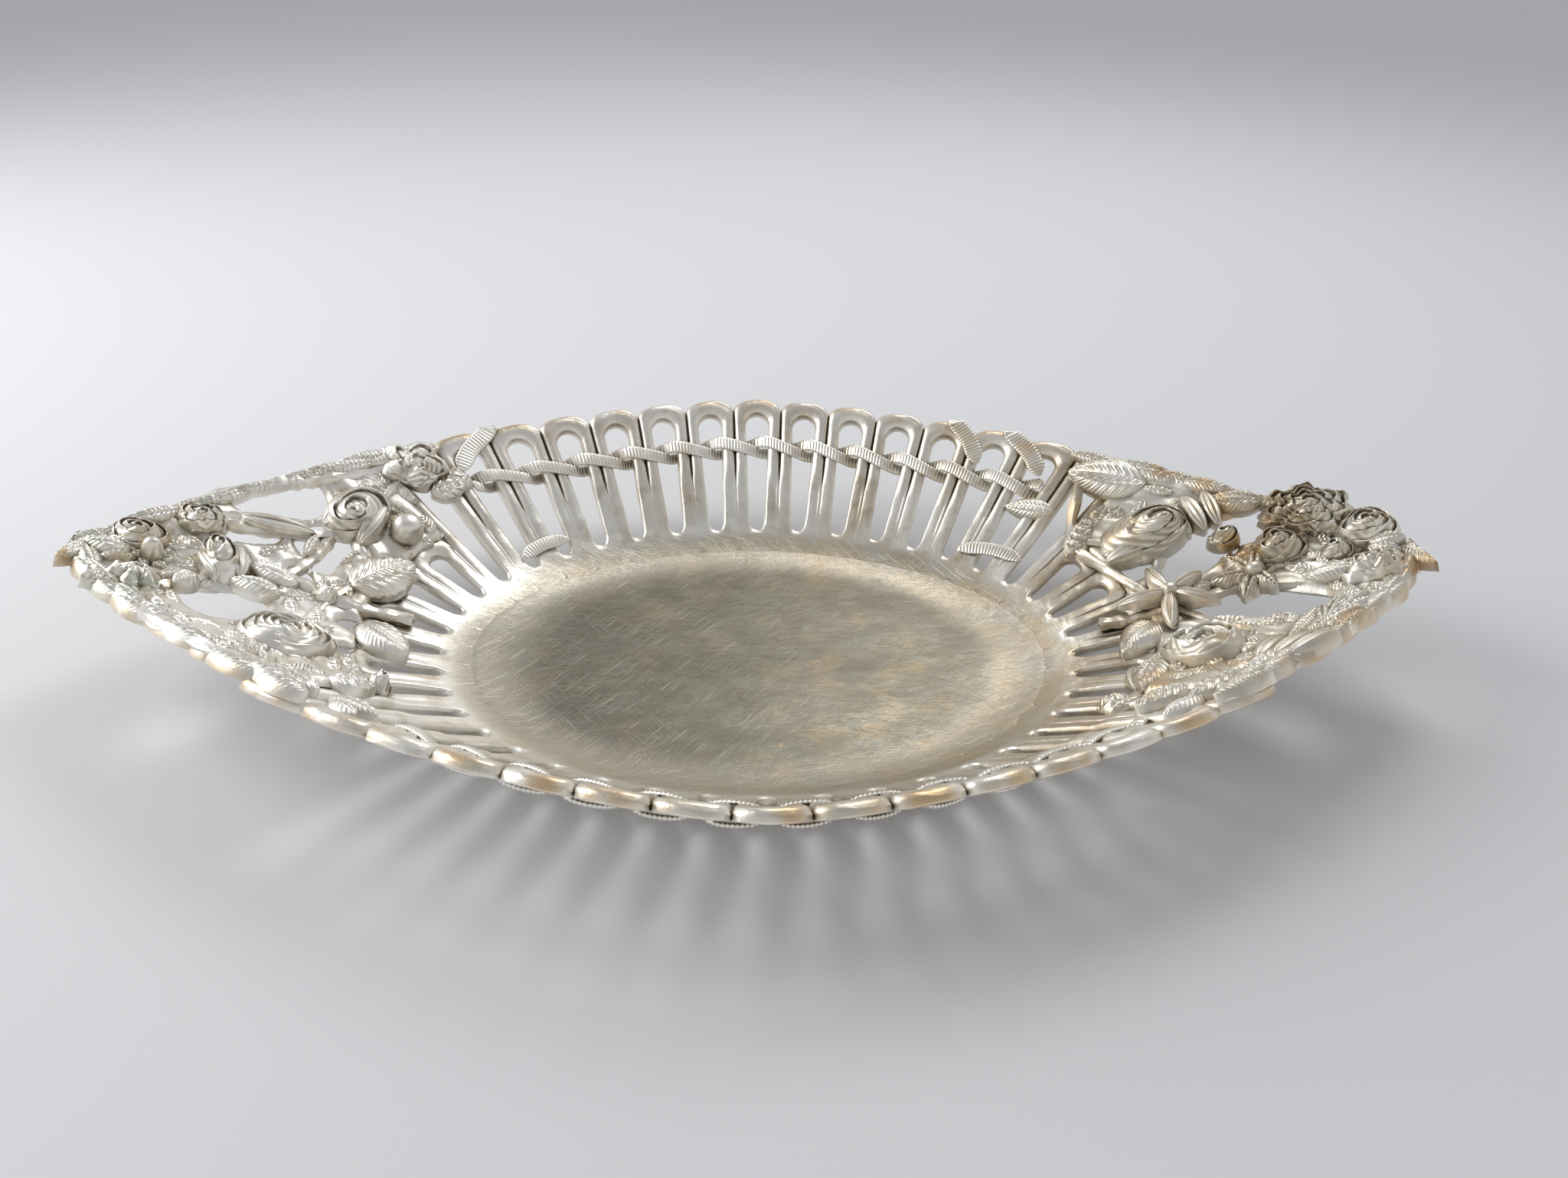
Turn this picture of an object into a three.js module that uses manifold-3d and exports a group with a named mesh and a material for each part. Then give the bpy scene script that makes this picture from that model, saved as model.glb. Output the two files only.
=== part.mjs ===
// Silver-plated oval basket: a smooth floor plate let into a pierced gallery of bent hoops, two strands
// twined through the hoops below the rim, and pointed ends of stems that carry roses, buds and leaves.
// Millimetres. X runs along the basket, Y across it and Z up from the table it stands on.
import * as THREE from 'three';
import { mergeVertices } from 'three/addons/utils/BufferGeometryUtils.js';
import Module from 'manifold-3d';

const wasm = await Module();
wasm.setup();

// Overall form
const HALF_LENGTH = 190;
const HALF_WIDTH = 105;
const RIM_HEIGHT = 36.5;
const TIP_HEIGHT = 34;
const RIM_BOW = 1.55;
const RIM_FULLNESS = 0.8;
const WALL_HOLLOW = 0.15;
const TROUGH_SOFTNESS = 10;

// Shoulder, where the hoops spring from the ring round the floor, set in from the pointed tips
const END_LENGTH = 100;
const SHOULDER_HALF_LENGTH = HALF_LENGTH - END_LENGTH;
const SHOULDER_HALF_WIDTH = 65.5;
const SHOULDER_HEIGHT = 5;

// Floor plate and the ring that holds it
const PLATE_THICKNESS = 1.4;
const RING_FLANK = 7.5;
const RING_LIP = 0.6;
const REBATE_WIDTH = 3;
const FOOT_WIDTH = 3;

// Hoops
const HOOPS = 42;
const SIDE_HOOP_REACH = 7;
const EVEN_SHARE = 0.81;
const CROWDING = 6;
const WALL_THICKNESS = 2.4;
const HOOP_CROWN = 1.3;
const HOOP_EDGE = 0.9;
const GROOVE_LIFT = 0.4;
const RIDGE_LIFT = 1.6;
const ARCH_BAND = 5.7;
const NOTCH_DEPTH = 4.6;
const OPENING_AT_ARCH = 0.52;
const OPENING_AT_SHOULDER = 0.38;
const SLOT_MARGIN = 2.5;
const CROWN_PLACE = 0.45;
const END_HOOP_HEIGHT = 27;

// Twined strands
const BAND_DEPTH = 17.2;
const STRAND_HEIGHT = 2.8;
const STRAND_THICKNESS = 1.5;
const STRAND_SWING = 1.75;
const STRAND_CROSSINGS = 6;

// Foliage lies on the gallery in layers
const CLEARANCE = 0.3;
const STEM_RADIUS = 1.6;
const LEAF_THICKNESS = 1.3;
const LEAF_CUP = 0.6;
const BINDING_WIDTH = 6;
const TAIL_WIDTH = 3.4;
const TAIL_RISE = 7;

const ARCH_ANGLES = [-90, -60, -30, 0, 30, 60, 90];
const LEFT = -1;
const RIGHT = 1;
const HALF_ROUND = HOOPS / 2;
const QUARTER = HOOPS / 4;
const HALF_WALL = WALL_THICKNESS / 2;
const STEM_SEAT = RIDGE_LIFT + CLEARANCE;
const STEM_CENTRE = STEM_SEAT + STEM_RADIUS;
const LEAF_SEAT = STEM_CENTRE + STEM_RADIUS + CLEARANCE;
const STAR_SEAT = LEAF_SEAT + LEAF_THICKNESS + LEAF_CUP + CLEARANCE;
const STRAND_SEAT = HOOP_CROWN + STRAND_THICKNESS + 2 * CLEARANCE;

const SILVER = { color: 0xb9b3a6, roughness: 0.38, metalness: 0.95 };
const DULL_SILVER = { color: 0x75736a, roughness: 0.5, metalness: 0.9 };
const WARM_SILVER = { color: 0xa89678, roughness: 0.42, metalness: 0.95 };

const basket = new THREE.Group();

function addPiece(name, geometry, finish) {
  const mesh = new THREE.Mesh(geometry, new THREE.MeshStandardMaterial(finish));
  mesh.name = name;
  basket.add(mesh);
}

// Half the basket's width at a place along its length
function rimHalfWidth(x) {
  const share = Math.min(Math.abs(x) / HALF_LENGTH, 1);
  return HALF_WIDTH * Math.pow(1 - Math.pow(share, RIM_BOW), RIM_FULLNESS);
}

function rimHeight(x) {
  const share = Math.min(Math.abs(x) / HALF_LENGTH, 1);
  return RIM_HEIGHT + (TIP_HEIGHT - RIM_HEIGHT) * Math.pow(share, 3);
}

// Distance from the centre to the rim along a ray, found by halving
function rimReach(alongX, alongY) {
  let near = 0;
  let far = HALF_LENGTH;
  for (let step = 0; step < 26; step += 1) {
    const middle = (near + far) / 2;
    if (middle * alongY < rimHalfWidth(middle * alongX)) near = middle;
    else far = middle;
  }
  return far;
}

// Height of the wall's middle surface. The centre line of each end is a soft trough.
function wallHeight(x, y) {
  const across = Math.hypot(y, TROUGH_SOFTNESS);
  const radius = Math.hypot(x, across);
  const alongX = Math.abs(x) / radius;
  const alongY = across / radius;
  const outer = rimReach(alongX, alongY);
  const inner = 1 / Math.hypot(alongX / SHOULDER_HALF_LENGTH, alongY / SHOULDER_HALF_WIDTH);
  const share = (radius - inner) / (outer - inner);
  const climb = (1 - WALL_HOLLOW) * share + WALL_HOLLOW * share * share;
  return SHOULDER_HEIGHT + (rimHeight(outer * alongX) - SHOULDER_HEIGHT) * climb;
}

function wallNormal(x, y) {
  const step = 0.5;
  const slopeX = (wallHeight(x + step, y) - wallHeight(x - step, y)) / (2 * step);
  const slopeY = (wallHeight(x, y + step) - wallHeight(x, y - step)) / (2 * step);
  return new THREE.Vector3(-slopeX, -slopeY, 1).normalize();
}

// A point above a plan place, lifted off the wall towards the inside of the basket
function onWall(x, y, lift) {
  const point = new THREE.Vector3(x, y, wallHeight(x, y));
  return point.addScaledVector(wallNormal(x, y), lift);
}

// The rim as a table of plan points at even steps, with the length run so far
function measureRim() {
  const steps = 600;
  const table = [{ x: 0, y: HALF_WIDTH, run: 0 }];
  for (let step = 1; step <= steps; step += 1) {
    const last = table[step - 1];
    const x = HALF_LENGTH * step / steps;
    const y = rimHalfWidth(x);
    table.push({ x, y, run: last.run + Math.hypot(x - last.x, y - last.y) });
  }
  return table;
}

const rimTable = measureRim();
const quarterRim = rimTable[rimTable.length - 1].run;

function rimPlanAtRun(run) {
  const target = Math.min(run, quarterRim);
  const next = Math.max(1, rimTable.findIndex((entry) => entry.run >= target));
  const from = rimTable[next - 1];
  const to = rimTable[next];
  const share = (target - from.run) / (to.run - from.run);
  return new THREE.Vector2(from.x + (to.x - from.x) * share, from.y + (to.y - from.y) * share);
}

// Places round the gallery are counted in hoops: 0 is the middle of the far side, HALF_ROUND of the near
function shoulderPlan(hoop, inset = 0) {
  const angle = 2 * Math.PI * hoop / HOOPS;
  const x = (SHOULDER_HALF_LENGTH - inset) * Math.sin(angle);
  return new THREE.Vector2(x, (SHOULDER_HALF_WIDTH - inset) * Math.cos(angle));
}

function rimPlan(hoop) {
  const angle = 2 * Math.PI * hoop / HOOPS;
  const onFarSide = Math.cos(angle) >= 0;
  const middle = onFarSide ? 0 : HALF_ROUND;
  const turns = Math.abs(hoop - middle - HOOPS * Math.round((hoop - middle) / HOOPS));
  const share = turns / QUARTER;
  const run = quarterRim * (EVEN_SHARE * share + (1 - EVEN_SHARE) * Math.pow(share, CROWDING));
  const plan = rimPlanAtRun(run);
  return new THREE.Vector2(plan.x * Math.sign(Math.sin(angle)), plan.y * (onFarSide ? 1 : -1));
}

function slant(hoop) {
  const foot = shoulderPlan(hoop);
  const top = rimPlan(hoop);
  return Math.hypot(foot.distanceTo(top), rimHeight(top.x) - SHOULDER_HEIGHT);
}

function galleryPlan(hoop, rise) {
  return shoulderPlan(hoop).lerp(rimPlan(hoop), rise / slant(hoop));
}

function galleryPoint(hoop, rise, lift) {
  const plan = galleryPlan(hoop, rise);
  return onWall(plan.x, plan.y, lift);
}

function halfPitch(hoop, rise) {
  return galleryPlan(hoop - 0.5, rise).distanceTo(galleryPlan(hoop + 0.5, rise)) / 2;
}

// Collects faces, then closes them into one body whose faces point out
class FaceList {
  constructor() {
    this.corners = [];
  }

  triangle(a, b, c) {
    this.corners.push(a, b, c);
  }

  quad(a, b, c, d) {
    this.triangle(a, b, c);
    this.triangle(a, c, d);
  }

  // A face standing upright on a line from the centre of the basket, turned to look along a direction
  uprightFace(points, outward) {
    const flat = points.map((point) => new THREE.Vector2(Math.hypot(point.x, point.y), point.z));
    for (const [a, b, c] of THREE.ShapeUtils.triangulateShape(flat, [])) {
      const normal = points[b].clone().sub(points[a]).cross(points[c].clone().sub(points[a]));
      if (normal.dot(outward) > 0) this.triangle(points[a], points[b], points[c]);
      else this.triangle(points[a], points[c], points[b]);
    }
  }

  solid() {
    const geometry = new THREE.BufferGeometry().setFromPoints(this.corners);
    return facingOut(geometry);
  }
}

function facingOut(geometry) {
  geometry.deleteAttribute('normal');
  geometry.deleteAttribute('uv');
  const merged = mergeVertices(geometry, 1e-4);
  const index = Array.from(merged.index.array);
  const place = merged.attributes.position;
  const point = (i) => new THREE.Vector3().fromBufferAttribute(place, i);
  const kept = [];
  let volume = 0;
  for (let i = 0; i < index.length; i += 3) {
    const [a, b, c] = index.slice(i, i + 3);
    if (a === b || b === c || a === c) continue;
    volume += point(a).dot(point(b).cross(point(c)));
    kept.push([a, b, c]);
  }
  merged.setIndex(kept.flatMap(([a, b, c]) => (volume > 0 ? [a, b, c] : [a, c, b])));
  return merged;
}

// Skin over rings of equal count. A ring of one point closes an end in a tip.
function loft(rings) {
  const faces = new FaceList();
  for (let i = 0; i + 1 < rings.length; i += 1) {
    const from = rings[i];
    const to = rings[i + 1];
    const count = Math.max(from.length, to.length);
    for (let j = 0; j < count; j += 1) {
      const next = (j + 1) % count;
      if (from.length === 1) faces.triangle(from[0], to[next], to[j]);
      else if (to.length === 1) faces.triangle(from[j], from[next], to[0]);
      else faces.quad(from[j], from[next], to[next], to[j]);
    }
  }
  closeEnd(faces, rings[0], false);
  closeEnd(faces, rings[rings.length - 1], true);
  return faces.solid();
}

function closeEnd(faces, ring, forward) {
  for (let j = 1; j + 1 < ring.length; j += 1) {
    if (forward) faces.triangle(ring[0], ring[j], ring[j + 1]);
    else faces.triangle(ring[0], ring[j + 1], ring[j]);
  }
}

function toManifold(geometry) {
  const vertProperties = new Float32Array(geometry.attributes.position.array);
  const triVerts = new Uint32Array(geometry.index.array);
  return new wasm.Manifold(new wasm.Mesh({ numProp: 3, vertProperties, triVerts }));
}

function fuse(geometries) {
  const joined = geometries.map(toManifold).reduce((whole, next) => whole.add(next));
  const { vertProperties, triVerts } = joined.getMesh();
  const geometry = new THREE.BufferGeometry();
  geometry.setAttribute('position', new THREE.BufferAttribute(new Float32Array(vertProperties), 3));
  geometry.setIndex(Array.from(triVerts));
  return geometry;
}

// Floor plate: an oval sheet with its edge under the ring's lip
function floorPlate() {
  const inset = RING_FLANK - REBATE_WIDTH + CLEARANCE;
  const outline = [];
  for (let hoop = 0; hoop < HOOPS; hoop += 1) outline.push(shoulderPlan(hoop, inset));
  const options = { depth: PLATE_THICKNESS, bevelEnabled: false };
  return facingOut(new THREE.ExtrudeGeometry(new THREE.Shape(outline), options));
}

// Section of the ring at one place: flank, lip, rebate for the plate, flat foot, and back up to the wall
function ringSection(hoop) {
  const lipUnderside = PLATE_THICKNESS + CLEARANCE;
  const footInset = RING_FLANK - REBATE_WIDTH;
  const at = (inset, height) => {
    const plan = shoulderPlan(hoop, inset);
    return new THREE.Vector3(plan.x, plan.y, height);
  };
  return [
    galleryPoint(hoop, 0, HALF_WALL),
    at(RING_FLANK, lipUnderside + RING_LIP),
    at(RING_FLANK, lipUnderside),
    at(footInset, lipUnderside),
    at(footInset, 0),
    at(footInset - FOOT_WIDTH, 0),
    galleryPoint(hoop, 0, -HALF_WALL),
  ];
}

// Half the width of a hoop's opening at its foot, which is also the radius of its rounded end
function footOpening(hoop) {
  return halfPitch(hoop, SLOT_MARGIN) * OPENING_AT_SHOULDER;
}

// A hoop is described by stations from the foot of its left leg, over the arch, down the right leg and back
// along the foot. Each station has an outer place on the hoop's edge and an inner place on its opening, as
// [side, rise], where side runs from -1 to 1 across the hoop. heightAt gives the top of the arch anywhere.
function hoopStations(hoop, heightAt, bandStation) {
  const archHalf = halfPitch(hoop, heightAt(hoop) - ARCH_BAND - NOTCH_DEPTH);
  const form = {
    hoop,
    heightAt,
    archRadius: archHalf * OPENING_AT_ARCH,
    footRadius: footOpening(hoop),
    footSide: footOpening(hoop) / halfPitch(hoop, SLOT_MARGIN),
  };
  const arch = ARCH_ANGLES.map((degrees) => archStation(form, degrees));
  const leftLeg = [legFoot(form, LEFT), ...(bandStation ? [bandPlace(form, LEFT)] : [])];
  const rightLeg = [...(bandStation ? [bandPlace(form, RIGHT)] : []), legFoot(form, RIGHT)];
  return [footCorner(form, LEFT), ...leftLeg, ...arch, ...rightLeg, footCorner(form, RIGHT), footMiddle()];
}

// The arch's right half stands proud of the next hoop, as each hoop laps over its neighbour
function archStation({ hoop, heightAt, archRadius }, degrees) {
  const angle = THREE.MathUtils.degToRad(degrees);
  const outerSide = Math.sin(angle);
  const innerSide = outerSide * OPENING_AT_ARCH;
  const dip = 1 - Math.cos(angle);
  const onEdge = Math.abs(degrees) === 90;
  return {
    outer: [outerSide, heightAt(hoop + outerSide / 2) - NOTCH_DEPTH * dip],
    inner: [innerSide, heightAt(hoop + innerSide / 2) - ARCH_BAND - archRadius * dip],
    outerLift: degrees >= 0 && !onEdge ? RIDGE_LIFT : GROOVE_LIFT,
    exposed: degrees < 90,
  };
}

// Where the twined band crosses a leg
function bandPlace({ hoop, heightAt, archRadius, footRadius, footSide }, side) {
  const rise = heightAt(hoop + side / 2) - BAND_DEPTH;
  const foot = SLOT_MARGIN + footRadius;
  const top = heightAt(hoop + side * OPENING_AT_ARCH / 2) - ARCH_BAND - archRadius;
  const share = (rise - foot) / (top - foot);
  const innerSide = side * (footSide + (OPENING_AT_ARCH - footSide) * share);
  return { outer: [side, rise], inner: [innerSide, rise], outerLift: GROOVE_LIFT };
}

function legFoot({ hoop, footRadius, footSide }, side) {
  return {
    outer: [side, SLOT_MARGIN + footOpening(hoop + side / 2)],
    inner: [side * footSide, SLOT_MARGIN + footRadius],
    outerLift: GROOVE_LIFT,
  };
}

function footCorner({ footRadius, footSide }, side) {
  return {
    outer: [side, 0],
    inner: [side * footSide * Math.SQRT1_2, SLOT_MARGIN + footRadius * (1 - Math.SQRT1_2)],
    outerLift: HALF_WALL,
    foot: true,
  };
}

function footMiddle() {
  return { outer: [0, 0], inner: [0, SLOT_MARGIN], outerLift: HALF_WALL, foot: true };
}

// Skin of one hoop's band: two slopes in front, the opening's wall, the back, and the rim where it is bare
function skinHoop(faces, stations) {
  stations.forEach((from, i) => {
    const to = stations[(i + 1) % stations.length];
    faces.quad(from.outerTop, from.crown, to.crown, to.outerTop);
    faces.quad(from.crown, from.innerTop, to.innerTop, to.crown);
    faces.quad(from.innerTop, from.innerBack, to.innerBack, to.innerTop);
    faces.quad(from.innerBack, from.outerBack, to.outerBack, to.innerBack);
    if (from.exposed) faces.quad(from.outerBack, from.outerTop, to.outerTop, to.outerBack);
  });
}

// A run of hoops and their stretch of ring as one casting, with a fine seam at each end
function gallerySection(first, last, heightAt, bandStation) {
  const faces = new FaceList();
  const seam = (place, rise) => {
    const gap = CLEARANCE / 2 / (2 * halfPitch(place, rise));
    if (place === first - 0.5) return place + gap;
    if (place === last + 0.5) return place - gap;
    return place;
  };
  const point = (hoop, [side, rise], lift) => galleryPoint(seam(hoop + side / 2, rise), rise, lift);
  const onCrown = ({ outer, inner }) => outer.map((from, i) => from + (inner[i] - from) * CROWN_PLACE);
  for (let hoop = first; hoop <= last; hoop += 1) {
    const stations = hoopStations(hoop, heightAt, bandStation).map((station) => ({
      ...station,
      outerTop: point(hoop, station.outer, station.outerLift),
      crown: point(hoop, onCrown(station), station.foot ? HALF_WALL : HOOP_CROWN),
      innerTop: point(hoop, station.inner, HOOP_EDGE),
      innerBack: point(hoop, station.inner, -HALF_WALL),
      outerBack: point(hoop, station.outer, -HALF_WALL),
    }));
    skinHoop(faces, stations);
    const sections = [LEFT, 0, RIGHT].map((side) => ringSection(seam(hoop + side / 2, 0)));
    loftRing(faces, sections[0], sections[1]);
    loftRing(faces, sections[1], sections[2]);
    const archStart = stations.findIndex((station) => station.exposed);
    const archEnd = archStart + ARCH_ANGLES.length - 1;
    if (hoop === first) closeSeam(faces, stations.slice(0, archStart + 1), sections[0], false);
    if (hoop === last) closeSeam(faces, stations.slice(archEnd, -1).reverse(), sections[2], true);
  }
  return faces.solid();
}

function loftRing(faces, left, right) {
  for (let i = 0; i + 1 < left.length; i += 1) faces.quad(left[i], left[i + 1], right[i + 1], right[i]);
}

// The flat end of a section: up the leg, and over the ring's own section
function closeSeam(faces, edge, section, onRight) {
  for (let i = 0; i + 1 < edge.length; i += 1) {
    const [low, high] = [edge[i], edge[i + 1]];
    if (onRight) faces.quad(low.outerTop, low.outerBack, high.outerBack, high.outerTop);
    else faces.quad(low.outerBack, low.outerTop, high.outerTop, high.outerBack);
  }
  const along = new THREE.Vector3(section[3].y, -section[3].x, 0);
  faces.uprightFace(section, onRight ? along : along.negate());
}

// One strand of the twined pair: before one stave and behind the next, high where it comes forward
function twinedStrand(middleHoop, turn) {
  const swingOut = HOOP_CROWN + CLEARANCE + STRAND_THICKNESS / 2;
  const staveEdge = OPENING_AT_ARCH / 2;
  const rings = [];
  for (let crossing = -STRAND_CROSSINGS; crossing <= STRAND_CROSSINGS; crossing += 1) {
    for (const share of [-1, -0.4, 0.4, 1]) {
      const hoop = middleHoop + crossing + share * staveEdge;
      const angle = Math.PI * (hoop - middleHoop);
      const reach = Math.sin(angle) / Math.sin(Math.PI * staveEdge);
      const lift = turn * swingOut * THREE.MathUtils.clamp(reach, -1, 1);
      const rise = slant(hoop) - BAND_DEPTH + turn * STRAND_SWING * Math.cos(angle);
      rings.push(strandSection(hoop, rise, lift));
    }
  }
  return loft(rings);
}

function strandSection(hoop, rise, lift) {
  const low = rise - STRAND_HEIGHT / 2;
  const high = rise + STRAND_HEIGHT / 2;
  const back = lift - STRAND_THICKNESS / 2;
  const front = lift + STRAND_THICKNESS / 2;
  const corners = [[low, back], [low, front], [high, front], [high, back]];
  return corners.map(([level, depth]) => galleryPoint(hoop, level, depth));
}

// A place on an end of the basket: how far in from the tip, and the share of the way from the centre line
// to the far rim, below zero towards the near rim
function endPlace(end, fromTip, across) {
  const x = HALF_LENGTH - fromTip;
  return new THREE.Vector2(end * x, across * rimHalfWidth(x));
}

// Returns a function that lays local points on the wall: x along the piece, y across it, z up from its seat.
// A piece that sits on the hoops is placed by hoop and rise instead.
function layOn(end, { fromTip, across, hoop, rise, heading = 0, seat = LEAF_SEAT }) {
  const place = hoop ? galleryPlan(end * hoop, rise) : endPlace(end, fromTip, across);
  const angle = THREE.MathUtils.degToRad(heading);
  const normal = wallNormal(place.x, place.y);
  const along = new THREE.Vector3(end * Math.cos(angle), Math.sin(angle), 0);
  along.addScaledVector(normal, -along.dot(normal)).normalize();
  const sideways = normal.clone().cross(along);
  return (x, y, z) => {
    const planX = place.x + along.x * x + sideways.x * y;
    const planY = place.y + along.y * x + sideways.y * y;
    return onWall(planX, planY, seat + z);
  };
}

// A stem through places on an end, each as [fromTip, across, radius], thicker at its knots
function stem(end, places) {
  const sides = 5;
  const curve = new THREE.CatmullRomCurve3(places.map(([fromTip, across, radius = STEM_RADIUS]) => {
    const plan = endPlace(end, fromTip, across);
    return new THREE.Vector3(plan.x, plan.y, radius);
  }));
  const steps = (places.length - 1) * 2;
  const rings = [];
  for (let step = 0; step <= steps; step += 1) {
    const { x, y, z: radius } = curve.getPoint(step / steps);
    const heading = curve.getTangent(step / steps);
    const normal = wallNormal(x, y);
    const along = new THREE.Vector3(heading.x, heading.y, 0);
    along.addScaledVector(normal, -along.dot(normal)).normalize();
    const sideways = normal.clone().cross(along);
    const centre = onWall(x, y, STEM_CENTRE);
    const ring = [];
    for (let side = 0; side < sides; side += 1) {
      const angle = 2 * Math.PI * (side + 0.5) / sides;
      const point = centre.clone().addScaledVector(sideways, radius * Math.cos(angle));
      ring.push(point.addScaledVector(normal, STEM_RADIUS * Math.sin(angle)));
    }
    rings.push(ring);
  }
  return loft(rings);
}

// A leaf from its stalk at the origin to its tip: a rib down the middle, cupped sides, and lobes on some
function leaf(lay, { length, width, cup = LEAF_CUP, lobes = 0, lobeDepth = 0.3, fullness = 0.8 }) {
  const steps = Math.max(5, lobes * 2 + 1);
  const middle = LEAF_THICKNESS / 2;
  const rings = [[lay(0, 0, middle)]];
  for (let step = 1; step < steps; step += 1) {
    const share = step / steps;
    const lobe = 1 - (lobes > 0 && step % 2 === 0 ? lobeDepth : 0);
    const half = width / 2 * Math.pow(Math.sin(Math.PI * Math.pow(share, fullness)), 0.7) * lobe;
    const x = length * share;
    const top = LEAF_THICKNESS;
    rings.push([
      lay(x, 0, 0),
      lay(x, half, cup * 0.6),
      lay(x, half, top + cup),
      lay(x, half * 0.4, top),
      lay(x, 0, top + cup * 0.5),
      lay(x, -half * 0.4, top),
      lay(x, -half, top + cup),
      lay(x, -half, cup * 0.6),
    ]);
  }
  rings.push([lay(length, 0, middle)]);
  return loft(rings);
}

// Layers of petals round an axis that stands on the wall. Each layer gives its reach as a share of the
// radius, its height, how deep its petals are cut and whether it is turned by half a petal.
function rosette(lay, { radius, petals, layers, stretch = 1 }) {
  const count = petals * 2;
  return loft(layers.map(({ reach, height, cut = 0, turned = 0, ruffle = 0 }) => {
    if (reach === 0) return [lay(0, 0, height)];
    return Array.from({ length: count }, (unused, i) => {
      const angle = 2 * Math.PI * i / count;
      const gap = (i + turned) % 2;
      const distance = radius * reach * (1 - cut * gap);
      return lay(distance * Math.cos(angle) * stretch, distance * Math.sin(angle), height - ruffle * gap);
    });
  }));
}

// A rose on its calyx: two layers of open petals round a hollow heart
function rose(lay, { radius, height, petals = 5, stretch = 1 }) {
  const flare = LEAF_THICKNESS + LEAF_CUP + CLEARANCE;
  const bloom = height - flare;
  const layers = [
    { reach: 0.35, height: 0 },
    { reach: 0.45, height: flare },
    { reach: 1, height: flare + bloom * 0.12, cut: 0.22 },
    { reach: 0.9, height: flare + bloom * 0.3, cut: 0.2 },
    { reach: 0.72, height: flare + bloom * 0.8, cut: 0.2, turned: 1 },
    { reach: 0.5, height, cut: 0.1, turned: 1 },
    { reach: 0.3, height: flare + bloom * 0.75 },
    { reach: 0, height: flare + bloom * 0.9 },
  ];
  return rosette(lay, { radius, petals, layers, stretch });
}

// A flat flower head or round leaf with a raised middle. Deep cuts between its petals narrow its heart, and
// a stalk carries one that stands over other leaves.
function daisy(lay, { radius, height, petals = 7, cut = 0.2, stalk = 0 }) {
  const uncut = 1 - cut;
  const layers = [
    { reach: 0.6 * uncut, height: -stalk },
    { reach: 0.75 * uncut, height: height * 0.1 },
    { reach: 1, height: height * 0.45, cut },
    { reach: 0.85, height: height * 0.75, cut },
    { reach: 0.5 * uncut, height: height * 0.6 },
    { reach: 0, height },
  ];
  return rosette(lay, { radius, petals, layers });
}

// An egg lying along the wall, flatter on its seat
function bud(lay, { length, width, height, blunt = 0.8 }) {
  const sides = 8;
  const steps = 6;
  const belly = height * 0.35;
  const rings = [[lay(-length / 2, 0, belly)]];
  for (let step = 1; step < steps; step += 1) {
    const share = step / steps;
    const girth = Math.pow(Math.sin(Math.PI * Math.pow(share, blunt)), 0.6);
    rings.push(Array.from({ length: sides }, (unused, i) => {
      const angle = 2 * Math.PI * i / sides;
      const up = Math.sin(angle) * girth;
      const lift = belly + (up > 0 ? height - belly : belly) * up;
      return lay(length * (share - 0.5), width / 2 * girth * Math.cos(angle), lift);
    }));
  }
  rings.push([lay(length / 2, 0, belly)]);
  return loft(rings);
}

// A flat strap through places on the gallery, each as [hoop, rise, lift]. It is broad either along the
// rim, where it wraps over an arch, or up the wall, where it runs along the staves.
function strap(places, width, broadAlongRim) {
  const centres = places.map(([hoop, rise, lift]) => galleryPoint(hoop, rise, lift));
  const rings = centres.map((centre, i) => {
    const [hoop, rise, lift] = places[i];
    const before = centres[Math.max(i - 1, 0)];
    const after = centres[Math.min(i + 1, centres.length - 1)];
    const along = after.clone().sub(before).normalize();
    const alongRim = galleryPoint(hoop + 0.1, rise, lift).sub(centre);
    const upWall = galleryPoint(hoop, rise + 1, lift).sub(centre);
    const broad = broadAlongRim ? alongRim : upWall;
    broad.addScaledVector(along, -broad.dot(along)).setLength(width / 2);
    const thick = along.clone().cross(broad).setLength(STRAND_THICKNESS / 2);
    return [[-1, -1], [1, -1], [1, 1], [-1, 1]].map(([u, v]) => {
      return centre.clone().addScaledVector(broad, u).addScaledVector(thick, v);
    });
  });
  return loft(rings);
}

// A strap that leaves the twined band, leans up over an arch, goes round the rim and ends behind it
function rimBinding(hoop, lean) {
  const top = slant(hoop);
  const over = RIDGE_LIFT + CLEARANCE + STRAND_THICKNESS / 2;
  const behind = -HALF_WALL - CLEARANCE - STRAND_THICKNESS / 2;
  const round = top + STRAND_THICKNESS;
  const bandTop = slant(hoop - lean) - BAND_DEPTH + STRAND_SWING + STRAND_HEIGHT;
  return strap([
    [hoop - lean, bandTop, over],
    [hoop - lean * 0.6, (bandTop + top) / 2, over],
    [hoop - lean * 0.2, top - ARCH_BAND / 3, over],
    [hoop, round, over],
    [hoop, round, behind],
    [hoop, top - ARCH_BAND / 3, behind],
    [hoop, top - ARCH_BAND, behind],
  ], BINDING_WIDTH, true);
}

// The end of a strap that lies along the staves above the shoulder
function ribbonTail(firstHoop, lastHoop) {
  const lift = HOOP_CROWN + CLEARANCE + STRAND_THICKNESS / 2;
  const steps = 6;
  const places = Array.from({ length: steps + 1 }, (unused, i) => {
    const share = i / steps;
    return [firstHoop + (lastHoop - firstHoop) * share, TAIL_RISE, lift];
  });
  return strap(places, TAIL_WIDTH, false);
}

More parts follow.
